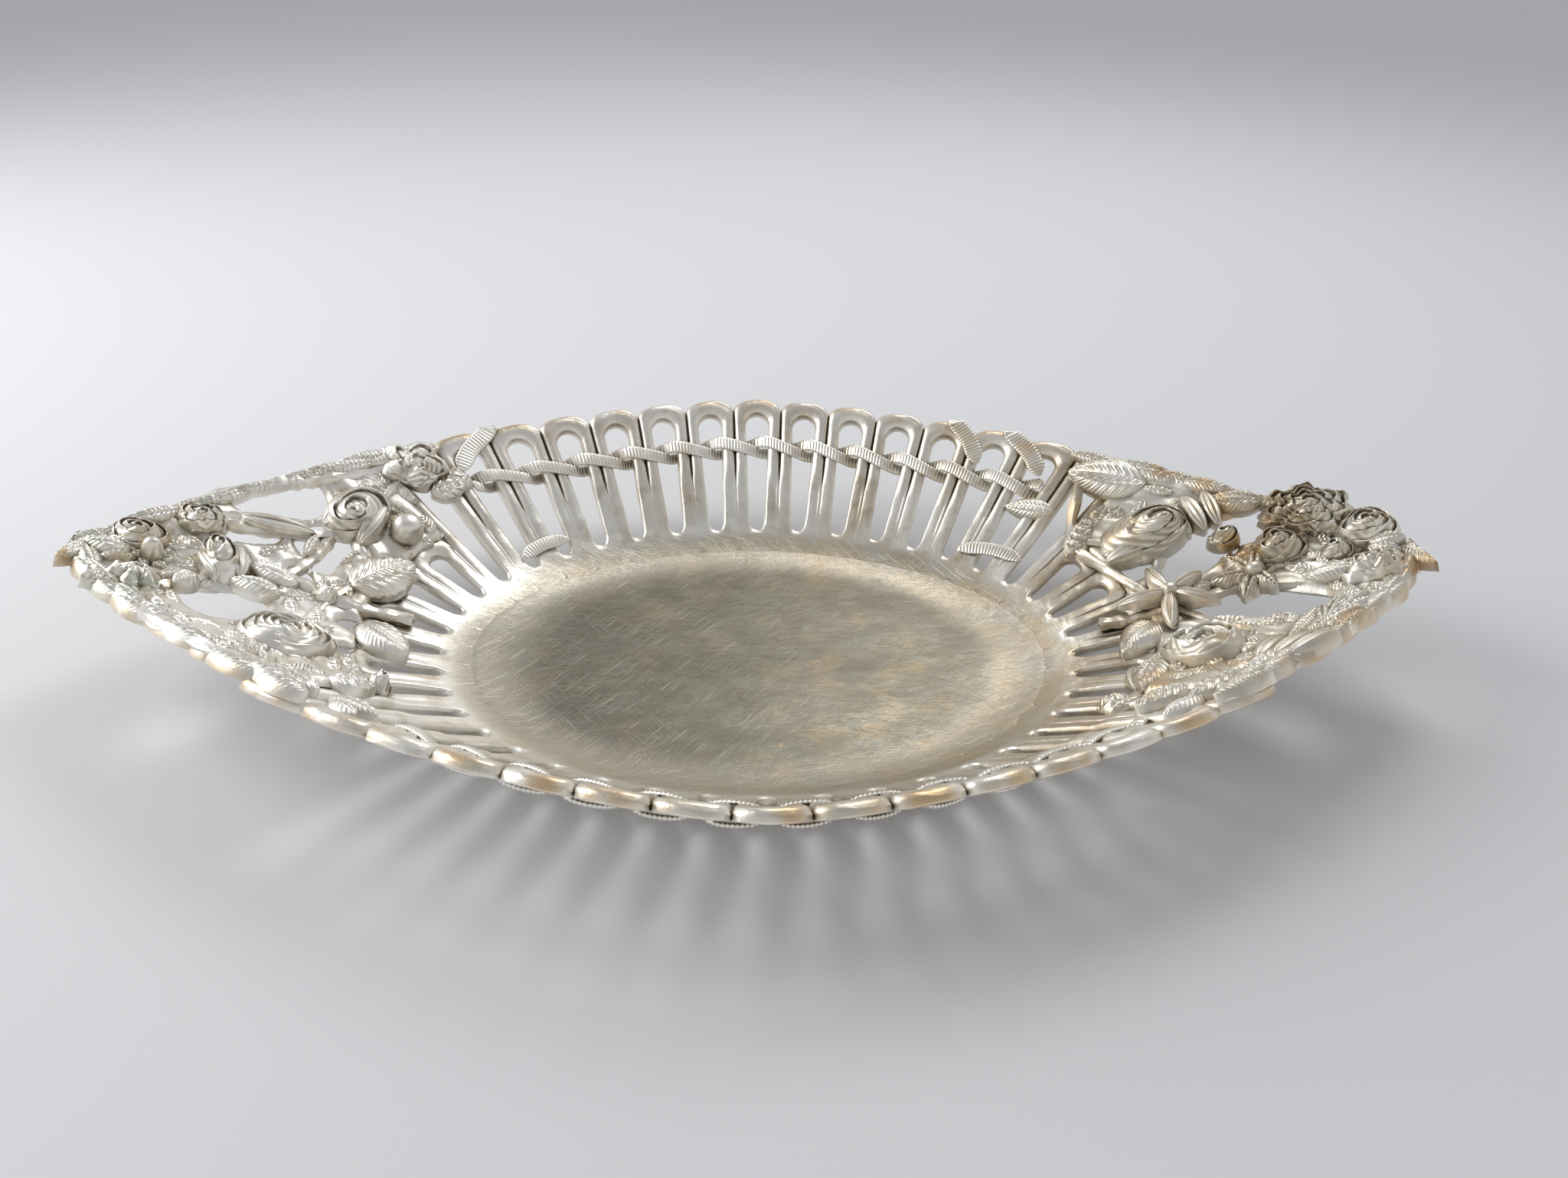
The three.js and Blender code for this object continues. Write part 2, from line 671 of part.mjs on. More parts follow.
// Stems of the left end, each as places [fromTip, across, radius]
const LEFT_STEMS = [
  [[82, 0.9], [66, 0.88], [54, 0.88, 2.4], [46, 0.9, 2.2], [32, 0.92], [20, 0.84], [10, 0.6], [6, 0]],
  [[82, -0.9], [64, -0.94, 2.2], [49, -0.94], [36, -0.92, 2], [22, -0.84], [11, -0.6], [6, 0]],
  [[90, 0.04], [78, 0.04], [67, 0.05, 2.6], [54, 0.16], [40, 0.14], [28, 0.1], [6, 0]],
  [[67, 0.05], [74, 0.3], [68, 0.52], [74, 0.74], [80, 0.9]],
  [[67, 0.05], [64, -0.24], [64, -0.5], [70, -0.93]],
  [[68, 0.52], [58, 0.5], [46, 0.52], [34, 0.6], [28, 0.66], [23, 0.88]],
  [[54, 0.16], [59, 0.34], [62, 0.5]],
  [[40, 0.14], [34, -0.14], [28, -0.5], [30, -0.88]],
];

// Blooms and leaves of the left end, each as [name, form, finish, place, sizes]
const LEFT_BLOOMS = [
  ['left_tip_leaf', leaf, WARM_SILVER,
    { fromTip: 10, across: -0.3, heading: -18 }, { length: 13, width: 7 }],
  ['left_tip_rosebud', rose, WARM_SILVER,
    { fromTip: 14, across: 0.3 }, { radius: 7, height: 8 }],
  ['left_daisy', daisy, WARM_SILVER,
    { fromTip: 23, across: -0.6 }, { radius: 7, height: 4.5, petals: 8 }],
  ['left_ball_bud', bud, SILVER,
    { fromTip: 22, across: 0.02 }, { length: 5, width: 5, height: 4.6, blunt: 1 }],
  ['left_blossom', rose, SILVER,
    { fromTip: 28, across: 0.6 }, { radius: 6.5, height: 6 }],
  ['left_tall_bud', bud, SILVER,
    { fromTip: 39, across: 0.18, heading: 65 }, { length: 17, width: 14, height: 9 }],
  ['left_small_leaf', leaf, SILVER,
    { fromTip: 37, across: -0.08, heading: -80 }, { length: 10, width: 6 }],
  ['left_almond_leaf', leaf, SILVER,
    { fromTip: 38, across: 0.56, heading: 184 }, { length: 21, width: 8 }],
  ['left_two_lobed_leaf', leaf, SILVER,
    { fromTip: 61, across: 0.12, heading: 8 }, { length: 15, width: 14, lobes: 2 }],
  ['left_ribbon', leaf, SILVER,
    { fromTip: 58, across: 0.27, heading: 95 }, { length: 8, width: 6 }],
  ['left_folded_rose', rose, WARM_SILVER,
    { fromTip: 68, across: 0.58 }, { radius: 10, height: 10, petals: 4 }],
  ['left_ruffled_flower', daisy, SILVER,
    { fromTip: 81, across: 0.84 }, { radius: 10.5, height: 6, petals: 6 }],
  ['left_pearl', bud, SILVER,
    { fromTip: 81, across: 0.52, seat: STEM_SEAT }, { length: 10, width: 10, height: 9, blunt: 1 }],
  ['left_button', daisy, SILVER,
    { hoop: 6.5, rise: 39, seat: STRAND_SEAT }, { radius: 5.5, height: 3, petals: 5, cut: 0 }],
  ['left_veined_leaf', leaf, SILVER,
    { fromTip: 71, across: 0.12, heading: 135 }, { length: 23, width: 19 }],
  ['left_knot', daisy, SILVER,
    { fromTip: 67, across: 0.02 }, { radius: 3.4, height: 3.6, petals: 5, cut: 0.1 }],
  ['left_open_rose', rose, SILVER,
    { fromTip: 64, across: -0.52 }, { radius: 12, height: 8, petals: 6 }],
  ['left_shell_leaf', leaf, SILVER,
    { fromTip: 77, across: -0.08, heading: 215, seat: STEM_SEAT }, { length: 18, width: 15, lobes: 3 }],
  ['left_acorn', bud, SILVER,
    { hoop: 13.2, rise: 22, heading: 60, seat: STEM_SEAT }, { length: 9, width: 7, height: 5.5 }],
  ['left_rim_leaf', leaf, WARM_SILVER,
    { fromTip: 86, across: -0.87, heading: 205, seat: STEM_SEAT }, { length: 15, width: 7 }],
];

// Stems of the right end, each as places [fromTip, across, radius]
const RIGHT_STEMS = [
  [[82, 0.9], [64, 0.88], [50, 0.88], [36, 0.88], [22, 0.86], [12, 0.7], [6, 0]],
  [[82, -0.9], [62, -0.92], [46, -0.92], [32, -0.9], [20, -0.8], [11, -0.5], [6, 0]],
  [[90, 0.04], [80, 0.02], [69, 0.03, 2], [57, 0.08], [46, 0.12], [36, 0.32], [26, 0.86]],
  [[46, 0.12], [32, -0.06], [18, -0.4], [16, -0.7]],
  [[69, 0.03], [62, -0.18], [54, -0.5], [46, -0.92]],
  [[69, 0.03], [80, 0.33], [90, 0.54], [84, 0.88]],
  [[90, 0.54], [78, 0.5], [66, 0.5], [54, 0.68], [44, 0.86]],
  [[62, -0.18], [69, -0.46], [74, -0.88]],
  [[36, 0.32], [24, 0.3], [11, 0.66]],
];

// Blooms and leaves of the right end, each as [name, form, finish, place, sizes]
const RIGHT_BLOOMS = [
  ['right_rim_leaf', leaf, SILVER,
    { fromTip: 67, across: 0.82, heading: 148 }, { length: 25, width: 16 }],
  ['right_band_leaf', leaf, SILVER,
    { hoop: 6.75, rise: 31, heading: 162, seat: STEM_SEAT }, { length: 16, width: 8 }],
  ['right_egg_bud', bud, WARM_SILVER,
    { fromTip: 70, across: 0.5, heading: 2 }, { length: 28, width: 20, height: 11 }],
  ['right_rolled_petals', leaf, WARM_SILVER,
    { fromTip: 52, across: 0.52, heading: 96 }, { length: 17, width: 8, cup: 2.6 }],
  ['right_pinnate_leaf', leaf, WARM_SILVER,
    { fromTip: 35, across: 0.86, heading: 160 }, { length: 15, width: 9, lobes: 3 }],
  ['right_carnation', rose, WARM_SILVER,
    { fromTip: 26, across: 0.84 }, { radius: 11, height: 12, petals: 7, stretch: 1.2 }],
  ['right_upper_rose', rose, SILVER,
    { fromTip: 7, across: 0.8 }, { radius: 9, height: 10 }],
  ['right_tip_petals', leaf, WARM_SILVER,
    { fromTip: 8, across: -0.1, heading: -14 }, { length: 10, width: 8 }],
  ['right_lower_rose', rose, SILVER,
    { fromTip: 18, across: -0.46 }, { radius: 9, height: 9, stretch: 1.1 }],
  ['right_small_bud', bud, WARM_SILVER,
    { fromTip: 48, across: 0.52, heading: 20 }, { length: 11, width: 8, height: 7 }],
  ['right_lily', rose, WARM_SILVER,
    { fromTip: 36, across: 0.32 }, { radius: 8, height: 10, petals: 4 }],
  ['right_maple_leaf', daisy, WARM_SILVER,
    { fromTip: 46, across: 0.06, heading: 180 }, { radius: 11.5, height: 2, petals: 5, cut: 0.5 }],
  ['right_oval_leaf', leaf, WARM_SILVER,
    { fromTip: 34, across: -0.08, heading: -12 }, { length: 15, width: 9 }],
  ['right_round_petal', daisy, WARM_SILVER,
    { fromTip: 22, across: 0.26 }, { radius: 4, height: 2.4, petals: 4, cut: 0 }],
  ['right_side_leaf', leaf, WARM_SILVER,
    { fromTip: 66, across: 0.06, heading: 6 }, { length: 7.5, width: 7 }],
  ['right_star_blossom', daisy, SILVER,
    { fromTip: 69, across: 0.03, heading: 35, seat: STAR_SEAT },
    { radius: 13, height: 4, petals: 5, cut: 0.72, stalk: STAR_SEAT - LEAF_SEAT }],
  ['right_broad_petal', leaf, SILVER,
    { fromTip: 75, across: -0.06, heading: 222, seat: STEM_SEAT },
    { length: 17, width: 14, fullness: 0.6 }],
  ['right_cup_rose', rose, WARM_SILVER,
    { fromTip: 70, across: -0.5 }, { radius: 10.5, height: 9 }],
  ['right_leaf_bundle', leaf, SILVER,
    { fromTip: 64, across: -0.88, heading: 38 }, { length: 21, width: 12, lobes: 3 }],
  ['right_palm_leaf', leaf, WARM_SILVER,
    { fromTip: 42, across: -0.8, heading: 36 }, { length: 22, width: 16, lobes: 4, lobeDepth: 0.45 }],
  ['right_curled_petal', leaf, WARM_SILVER,
    { hoop: 12.2, rise: 20, heading: 250, seat: STEM_SEAT }, { length: 11, width: 7 }],
  ['right_round_leaf', daisy, SILVER,
    { hoop: 13.7, rise: 17.5, seat: STEM_SEAT }, { radius: 4.5, height: 2.2, petals: 5, cut: 0 }],
  ['right_edge_leaf', leaf, SILVER,
    { fromTip: 84, across: -0.9, heading: 208, seat: STEM_SEAT }, { length: 12, width: 6 }],
];

function addEnd(end, stemsName, stemsFinish, stems, blooms) {
  addPiece(stemsName, fuse(stems.map((places) => stem(end, places))), stemsFinish);
  for (const [name, form, finish, place, sizes] of blooms) {
    addPiece(name, form(layOn(end, place), sizes), finish);
  }
}

function addGallery() {
  const sideSpan = [-SIDE_HOOP_REACH, SIDE_HOOP_REACH];
  const nearSpan = sideSpan.map((hoop) => hoop + HALF_ROUND);
  const rightSpan = [SIDE_HOOP_REACH + 1, HALF_ROUND - SIDE_HOOP_REACH - 1];
  const leftSpan = rightSpan.map((hoop) => hoop + HALF_ROUND);
  const sideHeight = (hoop) => slant(hoop);
  const endHeight = () => END_HOOP_HEIGHT;
  addPiece('far_gallery', gallerySection(...sideSpan, sideHeight, true), SILVER);
  addPiece('near_gallery', gallerySection(...nearSpan, sideHeight, true), SILVER);
  addPiece('right_gallery', gallerySection(...rightSpan, endHeight, false), SILVER);
  addPiece('left_gallery', gallerySection(...leftSpan, endHeight, false), SILVER);
}

function addWeave() {
  addPiece('far_strand_one', twinedStrand(0, 1), SILVER);
  addPiece('far_strand_two', twinedStrand(0, -1), SILVER);
  addPiece('near_strand_one', twinedStrand(HALF_ROUND, 1), SILVER);
  addPiece('near_strand_two', twinedStrand(HALF_ROUND, -1), SILVER);
  addPiece('left_rim_binding', rimBinding(-5.4, 0.9), SILVER);
  addPiece('right_inner_rim_binding', rimBinding(4.1, -0.7), WARM_SILVER);
  addPiece('right_outer_rim_binding', rimBinding(5.2, -0.9), WARM_SILVER);
  addPiece('left_ribbon_tail', ribbonTail(-6.2, -4.8), SILVER);
  addPiece('right_ribbon_tail', ribbonTail(5.2, 6.8), WARM_SILVER);
}

addPiece('floor_plate', floorPlate(), DULL_SILVER);
addGallery();
addWeave();
addEnd(LEFT, 'left_stems', SILVER, LEFT_STEMS, LEFT_BLOOMS);
addEnd(RIGHT, 'right_stems', WARM_SILVER, RIGHT_STEMS, RIGHT_BLOOMS);

export default basket;
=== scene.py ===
"""A silver-plated oval basket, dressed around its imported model.

Every form is laid on the basket's own wall, which is a height over its plan. Places are worked out in
millimetres and written to the meshes in metres.
"""

import logging
import math
from dataclasses import dataclass, field
from enum import Enum
from typing import Sequence

import bmesh
import bpy
import numpy as np
from mathutils import Matrix, Vector
from mathutils.bvhtree import BVHTree


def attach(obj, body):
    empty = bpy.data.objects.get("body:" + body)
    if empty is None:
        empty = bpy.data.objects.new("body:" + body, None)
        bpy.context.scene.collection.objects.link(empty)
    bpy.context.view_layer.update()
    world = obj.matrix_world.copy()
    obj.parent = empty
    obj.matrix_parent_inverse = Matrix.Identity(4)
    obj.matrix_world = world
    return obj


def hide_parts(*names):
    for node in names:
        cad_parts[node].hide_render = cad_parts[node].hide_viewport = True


LOG = logging.getLogger("basket")
MM = 0.001
TAU = 2 * math.pi
Array = np.ndarray
Relief = tuple[Array, dict[str, Array]]
Span = tuple[float, float]
Triple = tuple[float, float, float]
Numbers = tuple[float, ...]
Value = bpy.types.NodeSocket | float

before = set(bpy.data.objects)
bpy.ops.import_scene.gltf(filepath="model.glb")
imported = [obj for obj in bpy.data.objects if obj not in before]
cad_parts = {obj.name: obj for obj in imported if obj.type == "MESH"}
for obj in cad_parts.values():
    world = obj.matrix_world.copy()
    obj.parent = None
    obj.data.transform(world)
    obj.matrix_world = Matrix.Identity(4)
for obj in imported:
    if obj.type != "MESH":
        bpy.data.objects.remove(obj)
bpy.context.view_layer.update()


class End(Enum):
    """The two pointed ends of the basket, by the direction of their tips along X."""

    LEFT = -1
    RIGHT = 1


class Finish(Enum):
    """The record's material slots."""

    SILVER = "aged_silver_plate"
    FLOOR = "dull_silver_plate"
    WORN = "worn_silver_plate"


def smooth_step(low: float, high: float, value: Array) -> Array:
    """Returns 0 below low, 1 above high and a smooth rise between them."""
    share = np.clip((value - low) / (high - low), 0.0, 1.0)
    return share * share * (3 - 2 * share)


def unit(vectors: Array) -> Array:
    """Returns vectors at a length of one."""
    return vectors / np.linalg.norm(vectors, axis=-1, keepdims=True)


def run_along(places: Array) -> Array:
    """Returns the length of a path up to each of its places."""
    return np.concatenate([[0], np.cumsum(np.linalg.norm(np.diff(places, axis=0), axis=-1))])


@dataclass(frozen=True)
class Waves:
    """A soft hand-made unevenness, as a sum of waves that run in all directions."""

    period: float
    size: float
    seed: int
    count: int = 5
    crowding: float = 0.35
    softening: float = 2.2

    def over(self, points: Array) -> Array:
        """Gives the unevenness over points.

        Args:
            points: places in millimetres, with X, Y and Z last.

        Returns:
            Numbers of about the waves' size, above and below zero, one for each point.
        """
        rng = np.random.default_rng(self.seed)
        total = np.zeros(points.shape[:-1])
        for index in range(self.count):
            direction = rng.normal(size=3)
            direction *= TAU / self.period * (1 + self.crowding * index) / np.linalg.norm(direction)
            total += np.sin(points @ direction + rng.uniform(0, TAU)) / self.softening
        return total * self.size


@dataclass(frozen=True)
class Wall:
    """The basket's flared wall: the height of its middle surface over the plan."""

    half_length: float = 190.0
    half_width: float = 105.0
    rim_height: float = 36.5
    tip_height: float = 34.0
    rim_bow: float = 1.55
    rim_fullness: float = 0.8
    hollow: float = 0.15
    trough: float = 10.0
    end_length: float = 100.0
    shoulder_half_width: float = 65.5
    shoulder_height: float = 5.0
    halvings: int = 24

    @property
    def shoulder_half_length(self) -> float:
        """Returns the shoulder's reach along X."""
        return self.half_length - self.end_length

    def rim_half_width(self, x: Array) -> Array:
        """Returns the rim's reach across the basket at places along it."""
        share = np.minimum(np.abs(x) / self.half_length, 1.0)
        return self.half_width * (1 - share**self.rim_bow) ** self.rim_fullness

    def half_width_at(self, x: float) -> float:
        """Returns the rim's reach across the basket at one place along it."""
        return float(self.rim_half_width(np.array(abs(x))))

    def rim_height_at(self, x: Array) -> Array:
        """Returns the rim's height at places along the basket."""
        share = np.minimum(np.abs(x) / self.half_length, 1.0)
        return self.rim_height + (self.tip_height - self.rim_height) * share**3

    def rim_reach(self, along_x: Array, along_y: Array) -> Array:
        """Finds the rim along rays from the centre, by halving.

        Args:
            along_x: the rays' share along X.
            along_y: the rays' share along Y.

        Returns:
            Distances from the centre to the rim.
        """
        near = np.zeros_like(along_x)
        far = np.full_like(along_x, self.half_length)
        for _ in range(self.halvings):
            middle = (near + far) / 2
            inside = middle * along_y < self.rim_half_width(middle * along_x)
            near = np.where(inside, middle, near)
            far = np.where(inside, far, middle)
        return far

    def height(self, x: Array, y: Array) -> Array:
        """Works out the wall's height along the ray from the centre, which runs flatter near the middle.

        Args:
            x: plan places along the basket.
            y: plan places across it.

        Returns:
            Heights of the wall's middle surface.
        """
        across = np.hypot(y, self.trough)
        radius = np.hypot(x, across)
        along_x = np.abs(x) / radius
        along_y = across / radius
        outer = self.rim_reach(along_x, along_y)
        inner = 1 / np.hypot(along_x / self.shoulder_half_length, along_y / self.shoulder_half_width)
        share = (radius - inner) / (outer - inner)
        climb = (1 - self.hollow) * share + self.hollow * share * share
        return self.shoulder_height + (self.rim_height_at(outer * along_x) - self.shoulder_height) * climb

    def normal(self, x: Array, y: Array) -> Array:
        """Returns the wall's unit normals, which lean into the basket."""
        step = 0.5
        slope_x = (self.height(x + step, y) - self.height(x - step, y)) / (2 * step)
        slope_y = (self.height(x, y + step) - self.height(x, y - step)) / (2 * step)
        return unit(np.stack([-slope_x, -slope_y, np.ones_like(slope_x)], axis=-1))

    def point(self, x: Array, y: Array, lift: Array) -> Array:
        """Returns places over the plan, lifted off the wall into the basket."""
        ground = np.stack([x, y, self.height(x, y)], axis=-1)
        return ground + self.normal(x, y) * np.asarray(lift)[..., None]


@dataclass
class HoopGrid:
    """Places on the wall counted in hoops round it and in millimetres up from the shoulder.

    Hoop 0 is the middle of the far side. Below the shoulder the rise is negative and runs down the dish.
    """

    wall: Wall
    hoops: int = 42
    even_share: float = 0.81
    crowding: float = 6.0
    dish_reach: Span = (11.0, 49.0)
    dish_power: float = 2.6
    dish_bottom: float = 0.3
    end_height: float = 27.0
    rim_samples: int = 601
    slope_reach: float = 2.0
    hoop_step: float = 0.02
    rise_step: float = 0.25
    rim_x: Array = field(init=False)
    rim_run: Array = field(init=False)

    def __post_init__(self) -> None:
        """Measures the length along the rim at even steps."""
        self.rim_x = np.linspace(0, self.wall.half_length, self.rim_samples)
        rim_y = self.wall.rim_half_width(self.rim_x)
        steps = np.hypot(np.diff(self.rim_x), np.diff(rim_y))
        self.rim_run = np.concatenate([[0.0], np.cumsum(steps)])

    def shoulder(self, hoop: Array, inset: Array) -> Array:
        """Returns plan places on the shoulder's oval, or on one set in from it."""
        angle = TAU * hoop / self.hoops
        x = (self.wall.shoulder_half_length - inset) * np.sin(angle)
        y = (self.wall.shoulder_half_width - inset) * np.cos(angle)
        return np.stack([x, y], axis=-1)

    def rim(self, hoop: Array) -> Array:
        """Spreads the hoops along the rim, evenly at the sides and crowded towards the tips.

        Args:
            hoop: places round the basket.

        Returns:
            Plan places on the rim.
        """
        angle = TAU * hoop / self.hoops
        far_side = np.cos(angle) >= 0
        middle = np.where(far_side, 0, self.hoops / 2)
        turns = np.abs(hoop - middle - self.hoops * np.round((hoop - middle) / self.hoops))
        share = turns / (self.hoops / 4)
        run = self.rim_run[-1] * (self.even_share * share + (1 - self.even_share) * share**self.crowding)
        x = np.interp(run, self.rim_run, self.rim_x)
        y = self.wall.rim_half_width(x)
        return np.stack([x * np.sign(np.sin(angle)), np.where(far_side, y, -y)], axis=-1)

    def slant(self, hoop: Array) -> Array:
        """Returns the length of the wall from shoulder to rim."""
        foot = self.shoulder(hoop, np.zeros_like(hoop))
        top = self.rim(hoop)
        climb = self.wall.rim_height_at(top[..., 0]) - self.wall.shoulder_height
        return np.sqrt(((foot - top) ** 2).sum(axis=-1) + climb**2)

    def top(self, hoop: float) -> float:
        """Returns the rise at which one hoop meets the rim."""
        return float(self.slant(np.array([hoop]))[0])

    def plan(self, hoop: Array, rise: Array) -> Array:
        """Returns plan places for hoops and rises, straight on down the dish where the rise is negative."""
        up = np.maximum(rise, 0.0)
        foot = self.shoulder(hoop, np.maximum(-rise, 0.0))
        share = (up / self.slant(hoop))[..., None]
        return foot + (self.rim(hoop) - foot) * share

    def middle(self, hoop: Array, rise: Array) -> Array:
        """Returns places on the middle surface of the wall and the dish."""
        plan = self.plan(hoop, rise)
        up = self.wall.height(plan[..., 0], plan[..., 1])
        return np.concatenate([plan, np.where(rise >= 0, up, self.dish(hoop, -rise))[..., None]], axis=-1)

    def dish(self, hoop: Array, inset: Array) -> Array:
        """Gives the dish's curve from the shoulder down to the flat floor, longer where the wall is flatter.

        Args:
            hoop: places round the basket.
            inset: distances in from the shoulder.

        Returns:
            Heights of the dish's middle surface.
        """
        foot = self.plan(hoop, np.zeros_like(hoop))
        above = self.plan(hoop, np.full_like(hoop, self.slope_reach))
        run = np.linalg.norm(above - foot, axis=-1)
        low = self.wall.height(foot[..., 0], foot[..., 1])
        slope = (self.wall.height(above[..., 0], above[..., 1]) - low) / run
        reach = np.clip(self.dish_power * (low - self.dish_bottom) / slope, *self.dish_reach)
        share = np.clip(1 - inset / reach, 0.0, 1.0)
        return self.dish_bottom + (low - self.dish_bottom) * share**self.dish_power

    def point(self, hoop: Array, rise: Array, lift: Array) -> Array:
        """Lifts places off the wall or the dish, into the basket.

        Args:
            hoop: places round the basket.
            rise: distances up from the shoulder.
            lift: distances off the middle surface.

        Returns:
            The places in the basket's own frame.
        """
        hoop = np.asarray(hoop, dtype=float)
        rise = np.asarray(rise, dtype=float) + np.zeros_like(hoop)
        ground = self.middle(hoop, rise)
        along = self.middle(hoop + self.hoop_step, rise) - ground
        above = self.middle(hoop, rise + self.rise_step) - ground
        normal = unit(np.cross(above, along))
        normal *= np.sign(normal[..., 2:3])
        return ground + normal * (np.asarray(lift) + np.zeros_like(hoop))[..., None]

    def half_pitch(self, hoop: Array, rise: Array) -> Array:
        """Returns half the distance from one hoop to the next."""
        return np.linalg.norm(self.plan(hoop - 0.5, rise) - self.plan(hoop + 0.5, rise), axis=-1) / 2


WALL = Wall()
GRID = HoopGrid(WALL)


class Casting:
    """One piece of the basket, gathered from closed skins."""

    SEAM_GAP = 2e-6
    CREASE_DEGREES = 50.0

    def __init__(self, name: str, finish: Finish, nodes: Sequence[str]) -> None:
        """Starts an empty piece.

        Args:
            name: the piece's name.
            finish: its finish.
            nodes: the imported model's nodes that it stands for.
        """
        self.name = name
        self.finish = finish
        self.nodes = nodes
        self.mesh = bmesh.new()

    def skin(self, points: Array, **marks: Array) -> None:
        """Adds one closed skin.

        Args:
            points: rows of places in millimetres. Each row closes on itself, and the first and last rows
                are single places or folded flat.
            marks: values from 0 to 1 for its material, by name, which spread over the rows and columns.
        """
        rows, columns = points.shape[:2]
        closed = np.concatenate([points, points[:, :1]], axis=1) * MM
        values = {}
        for name, mark in marks.items():
            full = np.broadcast_to(mark, (rows, columns))
            layers = self.mesh.verts.layers.float
            values[layers.get(name) or layers.new(name)] = np.concatenate([full, full[:, :1]], axis=1)
        made = bmesh.ops.create_grid(self.mesh, x_segments=columns, y_segments=rows - 1, size=1.0)
        verts = made["verts"]
        for vert in verts:
            column = round((vert.co.x + 1) / 2 * columns)
            row = round((vert.co.y + 1) / 2 * (rows - 1))
            vert.co = closed[row, column]
            for layer, value in values.items():
                vert[layer] = value[row, column]
        self.close(verts)

    def close(self, verts: Sequence[bmesh.types.BMVert]) -> None:
        """Joins a skin's seam and tips, drops what folded flat, and turns its faces outwards."""
        faces = {face for vert in verts for face in vert.link_faces}
        bmesh.ops.remove_doubles(self.mesh, verts=verts, dist=self.SEAM_GAP)
        faces = [face for face in faces if face.is_valid]
        bmesh.ops.recalc_face_normals(self.mesh, faces=faces)

    def finish_piece(self, material: bpy.types.Material) -> bpy.types.Object:
        """Makes the object, smooth but for its sharp edges, and ties it to the frame.

        Args:
            material: what the piece is made of.

        Returns:
            The finished object.
        """
        data = bpy.data.meshes.new(self.name)
        self.mesh.to_mesh(data)
        self.mesh.free()
        data.polygons.foreach_set("use_smooth", np.ones(len(data.polygons), dtype=bool))
        data.set_sharp_from_angle(angle=math.radians(self.CREASE_DEGREES))
        piece = bpy.data.objects.new(self.name + "_cast", data)
        bpy.context.scene.collection.objects.link(piece)
        data.materials.append(material)
        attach(piece, "root")
        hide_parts(*self.nodes)
        LOG.info("%s: %d faces", self.name, len(data.polygons))
        return piece


def tube(centres: Array, radii: Array, normals: Array, twist: float) -> Array:
    """Sweeps a fluted round section along a path.

    Args:
        centres: places along the path.
        radii: the section's radius at each place.
        normals: the wall's normals at each place.
        twist: turns of the flutes for each millimetre of length.

    Returns:
        Rows of places that close on themselves, drawn to a point at both ends.
    """
    sides, grooves, groove_depth = 14, 5, 0.12
    along = unit(np.gradient(centres, axis=0))
    sideways = unit(np.cross(normals, along))
    upwards = np.cross(along, sideways)
    run = run_along(centres)
    angle = TAU * np.arange(sides) / sides
    flute = 1 + groove_depth * np.cos(grooves * angle[None, :] + TAU * twist * run[:, None])
    reach = radii[:, None] * flute
    reach[0] = 0
    reach[-1] = 0
    rows = centres[:, None] + sideways[:, None] * (reach * np.cos(angle))[..., None]
    return rows + upwards[:, None] * (reach * np.sin(angle))[..., None]


def curve_through(places: Array, steps: int) -> Array:
    """Draws a smooth curve through places.

    Args:
        places: the places, in order.
        steps: points on the curve between one place and the next.

    Returns:
        The curve's points.
    """
    padded = np.concatenate([2 * places[:1] - places[1:2], places, 2 * places[-1:] - places[-2:-1]])
    share = np.linspace(0, 1, steps, endpoint=False)[:, None]
    spans = []
    for before, start, end, after in zip(padded, padded[1:], padded[2:], padded[3:]):
        spans.append(0.5 * (2 * start + (end - before) * share
                            + (2 * before - 5 * start + 4 * end - after) * share**2
                            + (3 * start - before - 3 * end + after) * share**3))
    return np.concatenate([*spans, places[-1:]])


@dataclass(frozen=True)
class Flank:
    """The flank of the dish, where the gallery and the floor meet."""

    meet: float = 7.0
    lift: float = 1.12
    dive: float = 0.35
    tone: float = 0.7


FLANK = Flank()


